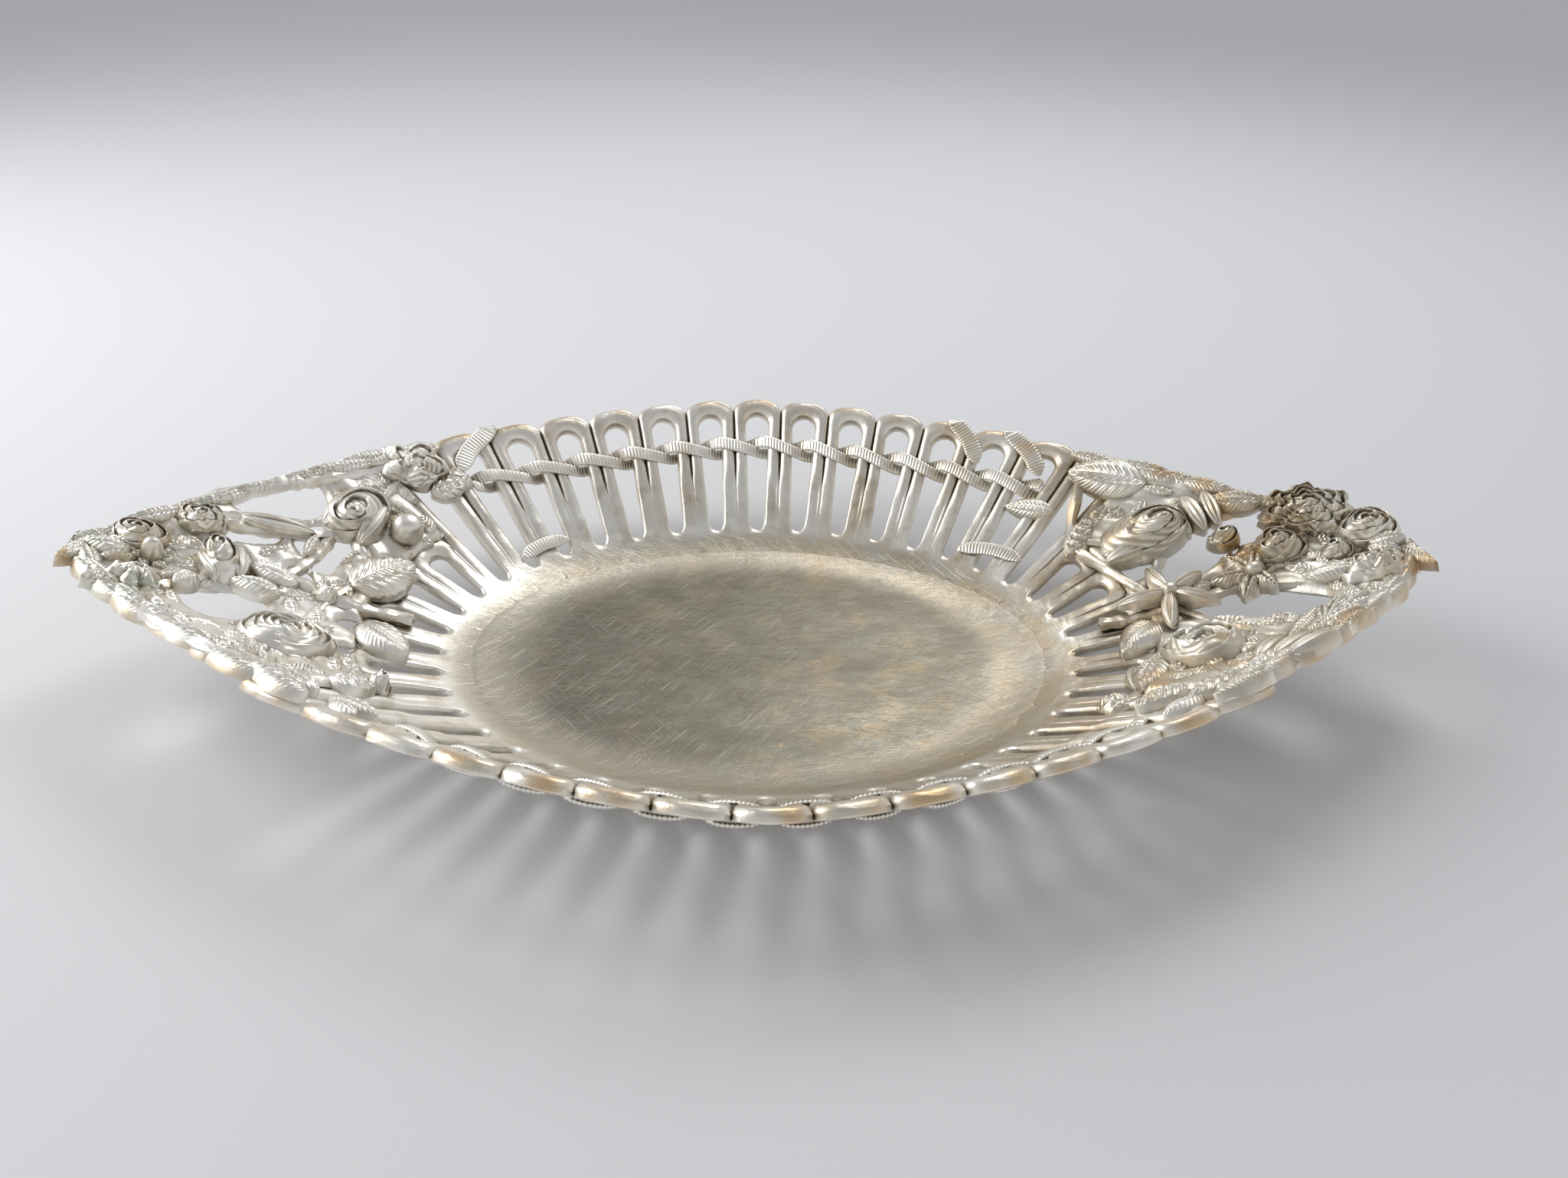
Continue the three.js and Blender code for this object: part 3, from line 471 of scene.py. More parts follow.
@dataclass
class Gallery:
    """The pierced wall: runs of hoops whose legs spring from the dish and whose arches make the rim."""

    arch_band: float = 5.7
    notch_depth: float = 4.4
    squareness: float = 0.92
    opening_at_arch: float = 0.49
    opening_at_shoulder: float = 0.37
    slot_margin: float = 2.5
    foot_stretch: float = 1.5
    half_wall: float = 1.2
    crown: float = 1.3
    groove: float = 1.0
    ridge: float = 1.6
    bulge: float = 1.2
    lip: float = 8.4
    flank_end: Span = (3.0, 13.0)
    arch_start: Span = (18.0, 26.0)
    leg_groove: float = 0.3
    leg_bulge: float = 0.25
    groove_share: float = 0.2
    ridge_share: Span = (0.07, 0.2)
    lapping_side: Span = (-0.15, 0.4)
    leg_bevel: float = 0.05
    arch_bevel: float = 0.55
    inner_bevel: float = 0.55
    roughness: tuple[Waves, ...] = (Waves(9.0, 0.06, 3), Waves(3.4, 0.03, 4))
    leg_steps: int = 20
    arch_steps: int = 33
    foot_steps: int = 23
    front: Numbers = (0, 0.03, 0.08, 0.14, 0.2, 0.3, 0.42, 0.55, 0.68, 0.8, 0.88, 0.94, 0.98, 1.0)
    back: Numbers = (0.97, 0.75, 0.5, 0.25, 0.04)
    inner_edge: Numbers = (0.0, -0.8)
    outer_edge: Numbers = (-0.95, -0.5, 0.0)

    def arch_height(self, hoop: Array, side_run: bool) -> Array:
        """Returns how far up the wall the arches reach."""
        return GRID.slant(hoop) if side_run else np.full_like(hoop, GRID.end_height)

    def foot_radius(self, hoop: Array) -> Array:
        """Returns the radius of the opening's rounded foot."""
        return GRID.half_pitch(hoop, np.full_like(hoop, self.slot_margin)) * self.opening_at_shoulder

    def outline(self, hoop: float, side_run: bool) -> tuple[Array, Array]:
        """Draws a hoop's outer edge and its opening, station by station.

        Args:
            hoop: the hoop's number.
            side_run: whether it is on a long side of the basket.

        Returns:
            Two arrays of [side, rise], where side runs from -1 to 1 across the hoop.
        """
        one = np.ones(1)
        top = self.arch_height(hoop * one, side_run)[0]
        depth = top - self.arch_band - self.notch_depth
        arch_radius = GRID.half_pitch(hoop * one, depth * one)[0] * self.opening_at_arch
        foot_half = GRID.half_pitch(hoop * one, self.slot_margin * one)[0]
        foot_radius = foot_half * self.opening_at_shoulder
        centre = self.slot_margin + foot_radius
        outer, inner = [], []
        climb = np.linspace(0, 1, self.leg_steps, endpoint=False)
        for side in (-1, 1):
            edge = hoop + side / 2 * one
            low = self.slot_margin + self.foot_radius(edge)[0]
            high = self.arch_height(edge, side_run)[0] - self.notch_depth
            arch_foot = self.arch_height(edge - side * (1 - self.opening_at_arch) / 2, side_run)[0]
            inner_top = arch_foot - self.arch_band - arch_radius
            leg_outer = np.stack([np.full_like(climb, side), low + (high - low) * climb], axis=-1)
            across = self.opening_at_shoulder + (self.opening_at_arch - self.opening_at_shoulder) * climb
            leg_inner = np.stack([side * across, centre + (inner_top - centre) * climb], axis=-1)
            outer.append(leg_outer)
            inner.append(leg_inner)
        turn = np.radians(np.linspace(-90, 90, self.arch_steps))
        dip = 1 - np.cos(turn)
        across = np.sign(turn) * np.abs(np.sin(turn)) ** self.squareness
        fall = 1 - np.abs(np.cos(turn)) ** self.squareness
        rim = self.arch_height(hoop + across / 2, side_run) - self.notch_depth * fall
        hole = self.arch_height(hoop + np.sin(turn) * self.opening_at_arch / 2, side_run)
        arch_outer = np.stack([across, rim], axis=-1)
        arch_inner = np.stack([np.sin(turn) * self.opening_at_arch,
                               hole - self.arch_band - arch_radius * dip], axis=-1)
        sweep = np.linspace(0, math.pi, self.foot_steps + 2)[1:-1]
        reach = np.minimum(foot_half / np.maximum(np.abs(np.cos(sweep)), 1e-6),
                           (centre + self.lip) / np.sin(sweep))
        foot_outer = np.stack([reach * np.cos(sweep) / foot_half, centre - reach * np.sin(sweep)], axis=-1)
        foot_inner = np.stack([self.opening_at_shoulder * np.cos(sweep),
                               centre - self.foot_stretch * foot_radius * np.sin(sweep)], axis=-1)
        return (np.concatenate([outer[0], arch_outer, outer[1][::-1], foot_outer]),
                np.concatenate([inner[0], arch_inner, inner[1][::-1], foot_inner]))

    def front_lift(self, share: Array, proud: Array, rise: Array) -> Array:
        """Shapes the front of the band between its outer edge and its opening.

        Args:
            share: 0 at the outer edge and 1 at the opening.
            proud: 1 where the edge laps over the next hoop.
            rise: height up the wall.

        Returns:
            Lifts off the wall's middle surface.
        """
        arched = smooth_step(*self.arch_start, rise)
        groove = self.crown - (self.crown - self.groove) * (self.leg_groove + (1 - self.leg_groove) * arched)
        tucked = groove + (self.crown - groove) * smooth_step(0.0, self.groove_share, share)
        lapped = self.crown + (self.ridge - self.crown) * (1 - smooth_step(*self.ridge_share, share))
        band = tucked + (lapped - tucked) * proud
        bulge = self.bulge * (self.leg_bulge + (1 - self.leg_bulge) * arched)
        band = band + bulge * np.sin(math.pi * share) ** 0.8
        bevel = self.leg_bevel + self.arch_bevel * arched
        band = band - bevel * (1 - smooth_step(0.0, 0.12, share))
        flat = np.full_like(band, FLANK.lift)
        lift = flat + (band - flat) * smooth_step(*self.flank_end, rise)
        lift = lift - self.inner_bevel * smooth_step(0.86, 1.0, share) ** 2
        return lift - FLANK.dive * np.clip((-rise - FLANK.meet) / (self.lip - FLANK.meet), 0, 1) ** 2

    def hoop_skin(self, hoop: float, side_run: bool) -> tuple[Array, Array, Array]:
        """Draws the closed skin of one hoop and its stretch of the dish's flank.

        Args:
            hoop: the hoop's number.
            side_run: whether it is on a long side of the basket.

        Returns:
            Rows of places, with their tone and wear.
        """
        outer, inner = self.outline(hoop, side_run)
        inner_end, outer_end = np.ones(len(self.inner_edge)), np.zeros(len(self.outer_edge))
        share = np.concatenate([self.front, inner_end, self.back, outer_end])[None, :]
        side = outer[:, :1] + (inner[:, :1] - outer[:, :1]) * share
        rise = outer[:, 1:] + (inner[:, 1:] - outer[:, 1:]) * share
        lift = self.front_lift(share, smooth_step(*self.lapping_side, outer[:, :1]), rise)
        behind = np.full(len(self.back), -self.half_wall)
        lift[:, len(self.front):] = [*self.inner_edge, *behind, *self.outer_edge]
        points = GRID.point(hoop + side / 2, rise, lift)
        rough = sum(waves.over(points) for waves in self.roughness)
        points[..., 2] += rough * smooth_step(-3.0, 3.0, rise)
        tone = FLANK.tone * smooth_step(3.0, -FLANK.meet, rise)
        wear = smooth_step(0.0, 0.8, np.cos(np.pi / 2 * side)) * smooth_step(30.0, 38.0, rise)
        wear = wear * (1 - smooth_step(0.1, 0.5, share))
        skin, tone, wear = (np.concatenate([rows, rows[:1]], axis=0) for rows in (points, tone, wear))
        return skin, tone, wear

    def build(self, name: str, first: int, last: int, side_run: bool) -> Casting:
        """Returns one run of hoops as a piece."""
        casting = Casting(name, Finish.SILVER, [name])
        for hoop in range(first, last + 1):
            skin, tone, wear = self.hoop_skin(float(hoop), side_run)
            casting.skin(skin, tone=tone, wear=wear)
        return casting


@dataclass
class Floor:
    """The smooth oval floor with its upturned edge, and the foot ring under it."""

    edge_inset: float = 6.0
    flat_inset: float = 50.0
    bottom_lift: float = -0.3
    spokes: int = 336
    waves: tuple[Waves, ...] = (Waves(75.0, 0.16, 8), Waves(31.0, 0.05, 9))
    waves_start: float = 16.0
    waves_level: float = 0.7
    foot_tone: float = 0.3
    foot_section: tuple[tuple[float, float | None], ...] = (
        (4.4, 0.0), (1.6, 0.0), (1.3, 0.3), (1.0, None), (5.0, None), (4.7, 0.3))

    def build(self) -> Casting:
        """Returns the floor as a piece."""
        hoop = np.linspace(0, GRID.hoops, self.spokes, endpoint=False)
        edge = np.concatenate([np.linspace(self.flat_inset, FLANK.meet, 20, endpoint=False),
                               np.linspace(FLANK.meet, self.edge_inset, 5)])
        dive = FLANK.dive * np.clip((FLANK.meet - edge) / (FLANK.meet - self.edge_inset), 0, 1) ** 2
        inner = np.linspace(0, 1, 34, endpoint=False) ** 0.8
        rows = [self._flat(hoop, share, True) for share in inner]
        rows += [self._edge(hoop, inset, FLANK.lift - drop) for inset, drop in zip(edge, dive)]
        rows += [self._edge(hoop, inset, self.bottom_lift) for inset in edge[::-1]]
        rows += [self._flat(hoop, share, False) for share in inner[::-1][::3]]
        rows.append(self._flat(hoop, 0.0, False))
        points = np.stack(rows)
        inset = self._inset(points)
        waves = sum(waves.over(points * [1, 1, 0]) for waves in self.waves)
        on_top = points[..., 2] > self.waves_level
        points[..., 2] += waves * on_top * smooth_step(FLANK.meet + 1, FLANK.meet + self.waves_start, inset)
        tone = FLANK.tone + (1 - FLANK.tone) * smooth_step(FLANK.meet, FLANK.meet + 15, inset)
        casting = Casting("floor", Finish.FLOOR, ["floor_plate"])
        casting.skin(points, tone=tone)
        casting.skin(self._foot(hoop[::2]), tone=np.array([[self.foot_tone]]))
        return casting

    def _inset(self, points: Array) -> Array:
        """Returns roughly how far places lie in from the shoulder."""
        along = points[..., 0] / WALL.shoulder_half_length
        across = points[..., 1] / WALL.shoulder_half_width
        return (1 - np.hypot(along, across)) * WALL.shoulder_half_width

    def _edge(self, hoop: Array, inset: float, lift: float) -> Array:
        """Returns one row round the upturned edge."""
        return GRID.point(hoop, np.full_like(hoop, -inset), lift)

    def _flat(self, hoop: Array, share: float, on_top: bool) -> Array:
        """Returns one row of the flat middle, at a share of the way out to the edge."""
        plan = GRID.shoulder(hoop, self.flat_inset) * share
        level = GRID.dish_bottom + (FLANK.lift if on_top else self.bottom_lift)
        return np.concatenate([plan, np.full((len(hoop), 1), level)], axis=-1)

    def _foot(self, hoop: Array) -> Array:
        """Draws the foot ring, which runs up into the dish where its section has no level.

        Args:
            hoop: places round the basket.

        Returns:
            Rows of places that close on themselves.
        """
        columns = []
        for inset, level in self.foot_section:
            plan = GRID.shoulder(hoop, inset)
            under = GRID.dish(hoop, inset) if level is None else np.full(len(hoop), level)
            columns.append(np.concatenate([plan, under[:, None]], axis=-1))
        points = np.stack(columns, axis=1)
        return np.concatenate([points, points[:1]], axis=0)


@dataclass
class Weave:
    """The ribbed strands twined through the hoops, and the ribbed straps bound over the rim."""

    depth: float = 17.2
    height: float = 4.1
    thickness: float = 1.1
    swing: float = 1.75
    reach: float = 2.5
    steepness: float = 1.5
    crossings: int = 6
    overhang: float = 0.26
    rib_period: float = 1.05
    rib_height: float = 0.13
    step: float = 0.17
    squareness: float = 0.6
    breathing: float = 0.1
    end_taper: float = 1.2
    binding_width: float = 5.8
    tail_width: float = 4.6

    def section(self, count: int) -> tuple[Array, Array]:
        """Returns a round-cornered strap section as shares across and through it."""
        angle = TAU * np.arange(count) / count
        across = np.sign(np.cos(angle)) * np.abs(np.cos(angle)) ** self.squareness
        through = np.sign(np.sin(angle)) * np.abs(np.sin(angle)) ** self.squareness
        return across, through

    def strand(self, name: str, middle: float, turn: int) -> Casting:
        """Builds one strand, before one stave and behind the next.

        Args:
            name: the strand's name.
            middle: the hoop in the middle of its side.
            turn: 1 or -1, which picks the strand of the pair.

        Returns:
            The strand as a piece.
        """
        ends = self.crossings + self.overhang
        coarse = np.linspace(middle - ends, middle + ends, 400)
        line = GRID.plan(coarse, GRID.slant(coarse) - self.depth)
        run = run_along(line)
        along = np.arange(0, run[-1], self.step)
        hoop = np.interp(along, run, coarse)
        wave = np.sin(math.pi * (hoop - middle))
        lift = turn * self.reach * np.tanh(self.steepness * wave) / math.tanh(self.steepness)
        rise = GRID.slant(hoop) - self.depth + turn * self.swing * np.cos(math.pi * (hoop - middle))
        across, through = self.section(12)
        rib = self.rib_height * np.cos(TAU * along / self.rib_period)
        taper = np.minimum(1, np.minimum(along, run[-1] - along) / self.end_taper)
        width = self.height / 2 * (1 + self.breathing * turn * wave) * taper
        half = (self.thickness / 2 + rib) * taper
        points = GRID.point(hoop[:, None] + 0 * across, rise[:, None] + width[:, None] * across,
                            lift[:, None] + half[:, None] * through)
        casting = Casting(name, Finish.SILVER, [name])
        casting.skin(points)
        return casting

    def strap(self, name: str, finish: Finish, places: Sequence[Triple],
              width: float, along_rim: bool) -> Casting:
        """Builds a ribbed strap through places on the gallery.

        Args:
            name: the strap's name.
            finish: its finish.
            places: its path as hoop, rise and lift.
            width: its width.
            along_rim: whether it is broad along the rim rather than up the wall.

        Returns:
            The strap as a piece.
        """
        path = curve_through(np.array(places, dtype=float), 40)
        hoop, rise, lift = path.T
        centres = GRID.point(hoop, rise, lift)
        beside = GRID.point(hoop + 0.1, rise, lift) if along_rim else GRID.point(hoop, rise + 1, lift)
        along = unit(np.gradient(centres, axis=0))
        broad = beside - centres
        broad = unit(broad - along * (broad * along).sum(axis=-1, keepdims=True))
        thick = np.cross(along, broad)
        run = run_along(centres)
        taper = np.clip(np.minimum(run, run[-1] - run) / self.height, 0, 1)[:, None] ** 0.5
        across, through = self.section(16)
        rib = self.rib_height * np.cos(TAU * run / self.rib_period)[:, None]
        points = centres[:, None] + broad[:, None] * (width / 2 * taper * across)[..., None]
        points = points + thick[:, None] * ((self.thickness / 2 + rib) * taper * through)[..., None]
        casting = Casting(name, finish, [name])
        casting.skin(points)
        return casting

    def rim_binding(self, name: str, finish: Finish, hoop: float, lean: float) -> Casting:
        """Builds a strap that climbs from the band, leans over an arch and ends behind the rim.

        Args:
            name: the strap's name.
            finish: its finish.
            hoop: where it crosses the rim.
            lean: how many hoops it leans on its way up.

        Returns:
            The strap as a piece.
        """
        top = GRID.top(hoop)
        over, behind = 2.5, -1.7
        low = GRID.top(hoop - lean) - self.depth + 4.0
        places = [(hoop - lean, low, over), (hoop - lean * 0.6, (low + top) / 2, over),
                  (hoop - lean * 0.2, top - 2.2, over), (hoop, top - 0.3, over - 0.7),
                  (hoop, top - 0.2, behind + 0.7), (hoop, top - 2.2, behind), (hoop, top - 5.7, behind)]
        return self.strap(name, finish, places, self.binding_width, True)

    def ribbon_tail(self, name: str, finish: Finish, first: float, last: float, climb: float) -> Casting:
        """Builds the ribbed end of a ribbon that lies across the staves.

        Args:
            name: the ribbon's name.
            finish: its finish.
            first: the hoop where it starts.
            last: the hoop where it ends.
            climb: how far it climbs on the way.

        Returns:
            The ribbon's end as a piece.
        """
        start, arch, lift = 5.4, 1.6, 1.9
        places = []
        for share in (0, 0.25, 0.5, 0.75, 1):
            rise = start + climb * share + arch * math.sin(math.pi * share)
            places.append((first + (last - first) * share, rise, lift))
        return self.strap(name, finish, places, self.tail_width, False)


@dataclass(frozen=True)
class Spot:
    """A place on one end of the basket, given from its tip or by its hoop, where a bloom sits."""

    end: End
    from_tip: float = 0.0
    across: float = 0.0
    heading: float = 0.0
    seat: float = 5.4
    hoop: float = 0.0
    rise: float = 0.0
    tip_margin: float = 3.0
    side_margin: float = 3.5

    def plan(self) -> Array:
        """Returns the place in plan."""
        if self.hoop:
            return GRID.plan(np.array([self.end.value * self.hoop]), np.array([self.rise]))[0]
        x = WALL.half_length - self.from_tip
        return np.array([self.end.value * x, self.across * WALL.half_width_at(x)])

    def lay(self, points: Array) -> Array:
        """Lays local places on the wall.

        Args:
            points: places as [along the heading, across it, up from the seat].

        Returns:
            The places in the basket's own frame.
        """
        place = self.plan()
        normal = WALL.normal(place[0], place[1])
        angle = math.radians(self.heading)
        along = np.array([self.end.value * math.cos(angle), math.sin(angle), 0.0])
        along -= normal * (along @ normal)
        along /= np.linalg.norm(along)
        sideways = np.cross(normal, along)
        x = place[0] + along[0] * points[..., 0] + sideways[0] * points[..., 1]
        y = place[1] + along[1] * points[..., 0] + sideways[1] * points[..., 1]
        x = np.clip(x, self.tip_margin - WALL.half_length, WALL.half_length - self.tip_margin)
        y = np.clip(y, self.side_margin - WALL.half_width, WALL.half_width - self.side_margin)
        return WALL.point(x, y, self.seat + points[..., 2])

    def overhang(self, length: float) -> float:
        """Returns how far a leaf from this spot would reach past the rim."""
        angle = math.radians(self.heading)
        x, y = self.plan() + np.array([self.end.value * math.cos(angle), math.sin(angle)]) * length
        return abs(y) - WALL.half_width_at(x)

    def moved(self, x: float, y: float, turn: float, lift: float = 0.0) -> "Spot":
        """Finds a spot beside this one.

        Args:
            x: how far it moves along the heading.
            y: how far it moves across the heading.
            turn: how far its heading turns, in degrees.
            lift: how far its seat rises.

        Returns:
            The new spot.
        """
        angle = math.radians(self.heading)
        place = self.plan()
        step_x = x * math.cos(angle) - y * math.sin(angle)
        step_y = x * math.sin(angle) + y * math.cos(angle)
        plan_x = abs(place[0]) + step_x
        plan_y = place[1] + step_y
        half = WALL.half_width_at(plan_x)
        return Spot(self.end, WALL.half_length - plan_x, plan_y / half, self.heading + turn, self.seat + lift)


def leaf_relief(length: float, width: float, height: float = 1.6, pleats: float = 6.0, slant: float = -1.6,
                depth: float = 0.22, crease: float = 0.5, lobes: int = 0, lobe_depth: float = 0.25,
                fullness: float = 0.85, curl: float = 0.0, sway: float = 0.0, sink: float = 2.6,
                rows: int = 25, columns: int = 17) -> Relief:
    """Draws a thick cast leaf: a pillow on each side of its rib, pleated, with upright edges.

    Args:
        length: from the stalk to the tip.
        width: across its widest part.
        height: how far its pillows rise.
        pleats: pleats along it.
        slant: pleats from the rib to the edge, which lean them, or run them lengthwise without any along.
        depth: the pleats' depth.
        crease: how far the rib stands up, or how deep it lies where below zero.
        lobes: lobes along each side.
        lobe_depth: how deep the cuts between them go.
        fullness: below 1 it is widest nearer the tip.
        curl: how far its tip lifts.
        sway: how far its tip bends sideways.
        sink: how far its edges go down.
        rows: steps along it.
        columns: steps across it.

    Returns:
        Rows of local places that close on themselves, with their marks: chase counts its fine chased lines,
        chased is their strength and fold is 1 in its folds, where the colour darkens as tarnish and as
        painted shade.
    """
    u = (1 - np.cos(np.linspace(0, math.pi, rows)))[:, None] / 2
    v = np.linspace(-1, 1, columns)[None, :]
    side = np.abs(v)
    lines = length * u / 1.3 - 0.35 * width * side if pleats else 0.45 * width * side + 0 * u
    half = width / 2 * np.sin(math.pi * u**fullness) ** 0.72
    if lobes:
        wave = (0.5 + 0.5 * np.cos(TAU * (u * lobes - 0.35))) ** 2
        half = half * (1 - lobe_depth * wave * smooth_step(0.06, 0.2, u))
    bow = np.sin(math.pi * u) ** 0.5
    pillow = (1 - side**3) * (0.75 + 0.25 * np.sin(math.pi * side))
    fold = depth * np.cos(TAU * (pleats * u + slant * side)) * (1 - side**4) * smooth_step(0.05, 0.25, side)
    rib = np.exp(-(side / 0.09) ** 2) - 0.6 * np.exp(-((side - 0.26) / 0.12) ** 2)
    z = bow * (height * pillow + fold + crease * rib) + curl * u**3
    top = np.stack([length * u + 0 * z, half * v + sway * u**2, z], axis=-1)
    foot = top[:, ::-1].copy()
    foot[..., 2] = -sink
    # fold marks the pleat hollows beside the rib, which the tarnish group darkens as tarnish and as painted
    # shade.
    fold = 0.5 * bow * np.exp(-((side - 0.2) / 0.11) ** 2)
    chased = (1 - side**4) * smooth_step(0.0, 0.06, u) * smooth_step(1.0, 0.94, u)
    marks = {"chase": np.concatenate([lines, lines[:, ::-1]], axis=1),
             "chased": np.concatenate([chased, 0 * chased], axis=1),
             "fold": np.concatenate([fold, 0 * fold], axis=1)}
    return np.concatenate([top, foot], axis=1), marks


def rosette(length: float, width: float, height: float, seed: int, turns: float = 3.6, petals: int = 5,
            depth: float = 2.2, ruffle: float = 0.03, cup: float = 0.0, cut: float = 0.05,
            offset: float = 0.0, rays: float = 0.0, sink: float = 2.8, rows: int = 60,
            columns: int = 96) -> Relief:
    """Draws a cast rose: a low dome under petals that wind outwards, each with a raised lip.

    Args:
        length: along the heading.
        width: across it.
        height: the dome's height.
        seed: picks the waves.
        turns: times that the petals wind round.
        petals: petals in each turn.
        depth: how far the lips stand up.
        ruffle: how far the lips wave.
        cup: how deep the heart lies.
        cut: how deep the outline is cut between petals.
        offset: where the heart lies along the heading, from -1 to 1.
        rays: the depth of the creases that run out between petals.
        sink: how far the edge goes down.
        rows: steps from the heart to the edge.
        columns: steps round it.

    Returns:
        Rows of local places that close on themselves, with the same marks as a leaf's.
    """
    rng = np.random.default_rng(seed)
    share = np.linspace(0, 1, rows)[:, None]
    angle = TAU * np.arange(columns)[None, :] / columns
    start = rng.uniform(0, TAU)
    counts = (2 * petals + 1, 3 * petals + 2)
    frill = sum(np.sin(count * angle + 3 * share + rng.uniform(0, TAU)) for count in counts)
    opened = smooth_step(0.1, 0.5, share)
    outline = 1 + cut * (np.cos(petals * angle + start) + ruffle * 4 * frill) * share
    bow = np.abs(np.sin((petals * angle + 5.5 * share + start) / 2))
    scallop = 0.5 * (1 - bow) + ruffle * frill
    lap = (turns * share + angle / TAU + scallop * opened) % 1.0
    lip = smooth_step(0.0, 0.19, lap) * (1 - lap) ** 1.5 * smooth_step(0.0, 0.09, share) * (0.45 + 0.55 * bow)
    crease = rays * (1 - np.abs(np.sin((petals * angle + start) / 2 + math.pi / 2)) ** 0.4) * opened
    z = height * (1 - share**2.1) - cup * np.exp(-(share / 0.42) ** 2) - 0.8
    z = z + depth * (0.7 + 0.3 * share) * lip - crease
    edge = np.sqrt(1 - np.clip((share - 0.9) / 0.1, 0, 1) ** 2)
    z = (z + sink) * edge - sink
    x = length / 2 * (offset * (1 - share) + share * outline * np.cos(angle))
    y = width / 2 * share * outline * np.sin(angle)
    top = np.stack([x, y, z], axis=-1)
    # fold marks the creases at the petals' lips, which the tarnish group darkens as tarnish and as painted
    # shade.
    fold = np.exp(-(lap / 0.11) ** 2) + np.exp(-((1 - lap) / 0.08) ** 2)
    fold = fold * smooth_step(0.04, 0.12, share) * (0.4 + 0.6 * bow) * (1 - smooth_step(0.9, 1.0, share))
    lines = 0.3 * length * share + 0.5 * np.cos(petals * angle + start)
    chased = smooth_step(0.95, 0.8, share) * smooth_step(0.02, 0.1, share) + 0 * angle
    marks = {"chase": np.concatenate([lines, lines[-1:]]), "chased": np.concatenate([chased, chased[-1:]]),
             "fold": np.concatenate([fold, fold[-1:]])}
    return np.concatenate([top, np.broadcast_to([0.0, 0.0, -sink], (1, columns, 3))]), marks


def dome(radius: float, height: float, base: float, ribs: int = 0) -> Array:
    """Draws a closed dome or knob on the upright axis.

    Args:
        radius: its widest reach.
        height: the height of its top.
        base: the height of its foot.
        ribs: ribs round it, which wind up it a little.

    Returns:
        Rows of local places that close on themselves.
    """
    rows, columns, depth = 12, 24, 0.14
    u = np.linspace(0, 1, rows)[:, None]
    angle = TAU * np.arange(columns)[None, :] / columns
    reach = radius * np.sin(math.pi * u**0.8) ** 0.6
    if ribs:
        reach = reach * (1 + depth * np.cos(ribs * angle + 2.2 * u))
    z = base + (height - base) * (1 - np.cos(math.pi * u)) / 2
    return np.stack([reach * np.cos(angle), reach * np.sin(angle), z + 0 * angle], axis=-1)


class Bloom(Casting):
    """A bloom or leaf that sits on the stems of one end."""

    def __init__(self, name: str, finish: Finish, spot: Spot) -> None:
        """Starts a bloom at its spot.

        Args:
            name: its name, which is that of the node it stands for.
            finish: its finish.
            spot: where it sits.
        """
        super().__init__(name, finish, [name])
        self.spot = spot
        self.rng = np.random.default_rng(sum(map(ord, name)))

    def leaf(self, length: float, width: float, height: float = 2.2, x: float = 0.0, y: float = 0.0,
             turn: float = 0.0, lift: float = 0.0, **sizes: float) -> None:
        """Adds a thick leaf.

        Args:
            length: its length.
            width: its width.
            height: how far its pillows rise.
            x: how far along the heading its stalk is.
            y: how far across the heading its stalk is.
            turn: its direction from the heading, in degrees.
            lift: its seat above the spot's.
            sizes: more of the leaf's sizes.
        """
        points, marks = leaf_relief(length, width, height, **sizes)
        self.skin(self.spot.moved(x, y, turn, lift).lay(points), **marks)

    def rose(self, length: float, width: float, height: float, **sizes: float) -> None:
        """Adds a rose, whose waves are its own."""
        points, marks = rosette(length, width, height, int(self.rng.integers(1000)), **sizes)
        self.skin(self.spot.lay(points), **marks)

    def knob(self, *sizes: float) -> None:
        """Adds a dome with its sizes and ribs."""
        self.skin(self.spot.lay(dome(*sizes)))

    def around(self, count: int, reach: float, length: float, width: float, lift: float = -0.8) -> None:
        """Adds leaves all round the foot of the bloom.

        Args:
            count: how many.
            reach: how far from the middle they start.
            length: their length.
            width: their width.
            lift: their seat above the bloom's.
        """
        for index in range(count):
            turn = 360 * (index + 0.3 * self.rng.random()) / count
            x, y = (reach * share for share in (math.cos(math.radians(turn)), math.sin(math.radians(turn))))
            if self.spot.moved(x, y, turn).overhang(length) < 0:
                self.leaf(length * self.rng.uniform(0.85, 1.15), width, 1.6, x, y, turn, lift,
                          sway=self.rng.uniform(-1.5, 1.5), rows=17, columns=13)

    def star(self) -> None:
        """Adds narrow thick petals that arch out from a heart."""
        radius, height, arms, width, sag = 14.5, 4.4, 5, 4.6, 3.0
        for index in range(arms):
            reach = radius * self.rng.uniform(0.88, 1.08)
            self.leaf(reach, width, 1.4, turn=360 * index / arms, lift=height * 0.5, pleats=0, slant=0.9,
                      depth=0.15, fullness=1.1, curl=-sag, sway=self.rng.uniform(-1.5, 1.5), sink=sag + 1.0)
        self.knob(radius * 0.2, height, -2.0, 5)


@dataclass(frozen=True)
class Hole:
    """An opening in an end, which narrows along its heading where it has a taper."""

    from_tip: float
    across: float
    length: float
    width: float
    heading: float = 0.0
    taper: float = 0.0

    def distance(self, end: End, plan: Array) -> Array:
        """Measures from the opening's middle line, whose width narrows by the taper.

        Args:
            end: the end that it is in.
            plan: places in plan.

        Returns:
            Distances outside the opening, below zero inside it.
        """
        angle = math.radians(self.heading)
        along = np.array([end.value * math.cos(angle), math.sin(angle)])
        away = plan - Spot(end, self.from_tip, self.across).plan()
        x = away @ along
        y = away @ np.array([-along[1], along[0]])
        reach = max((self.length - self.width) / 2, 0.1)
        share = np.clip(x / reach, -1, 1)
        return np.hypot(x - reach * share, y) - self.width / 2 * (1 - self.taper * share)


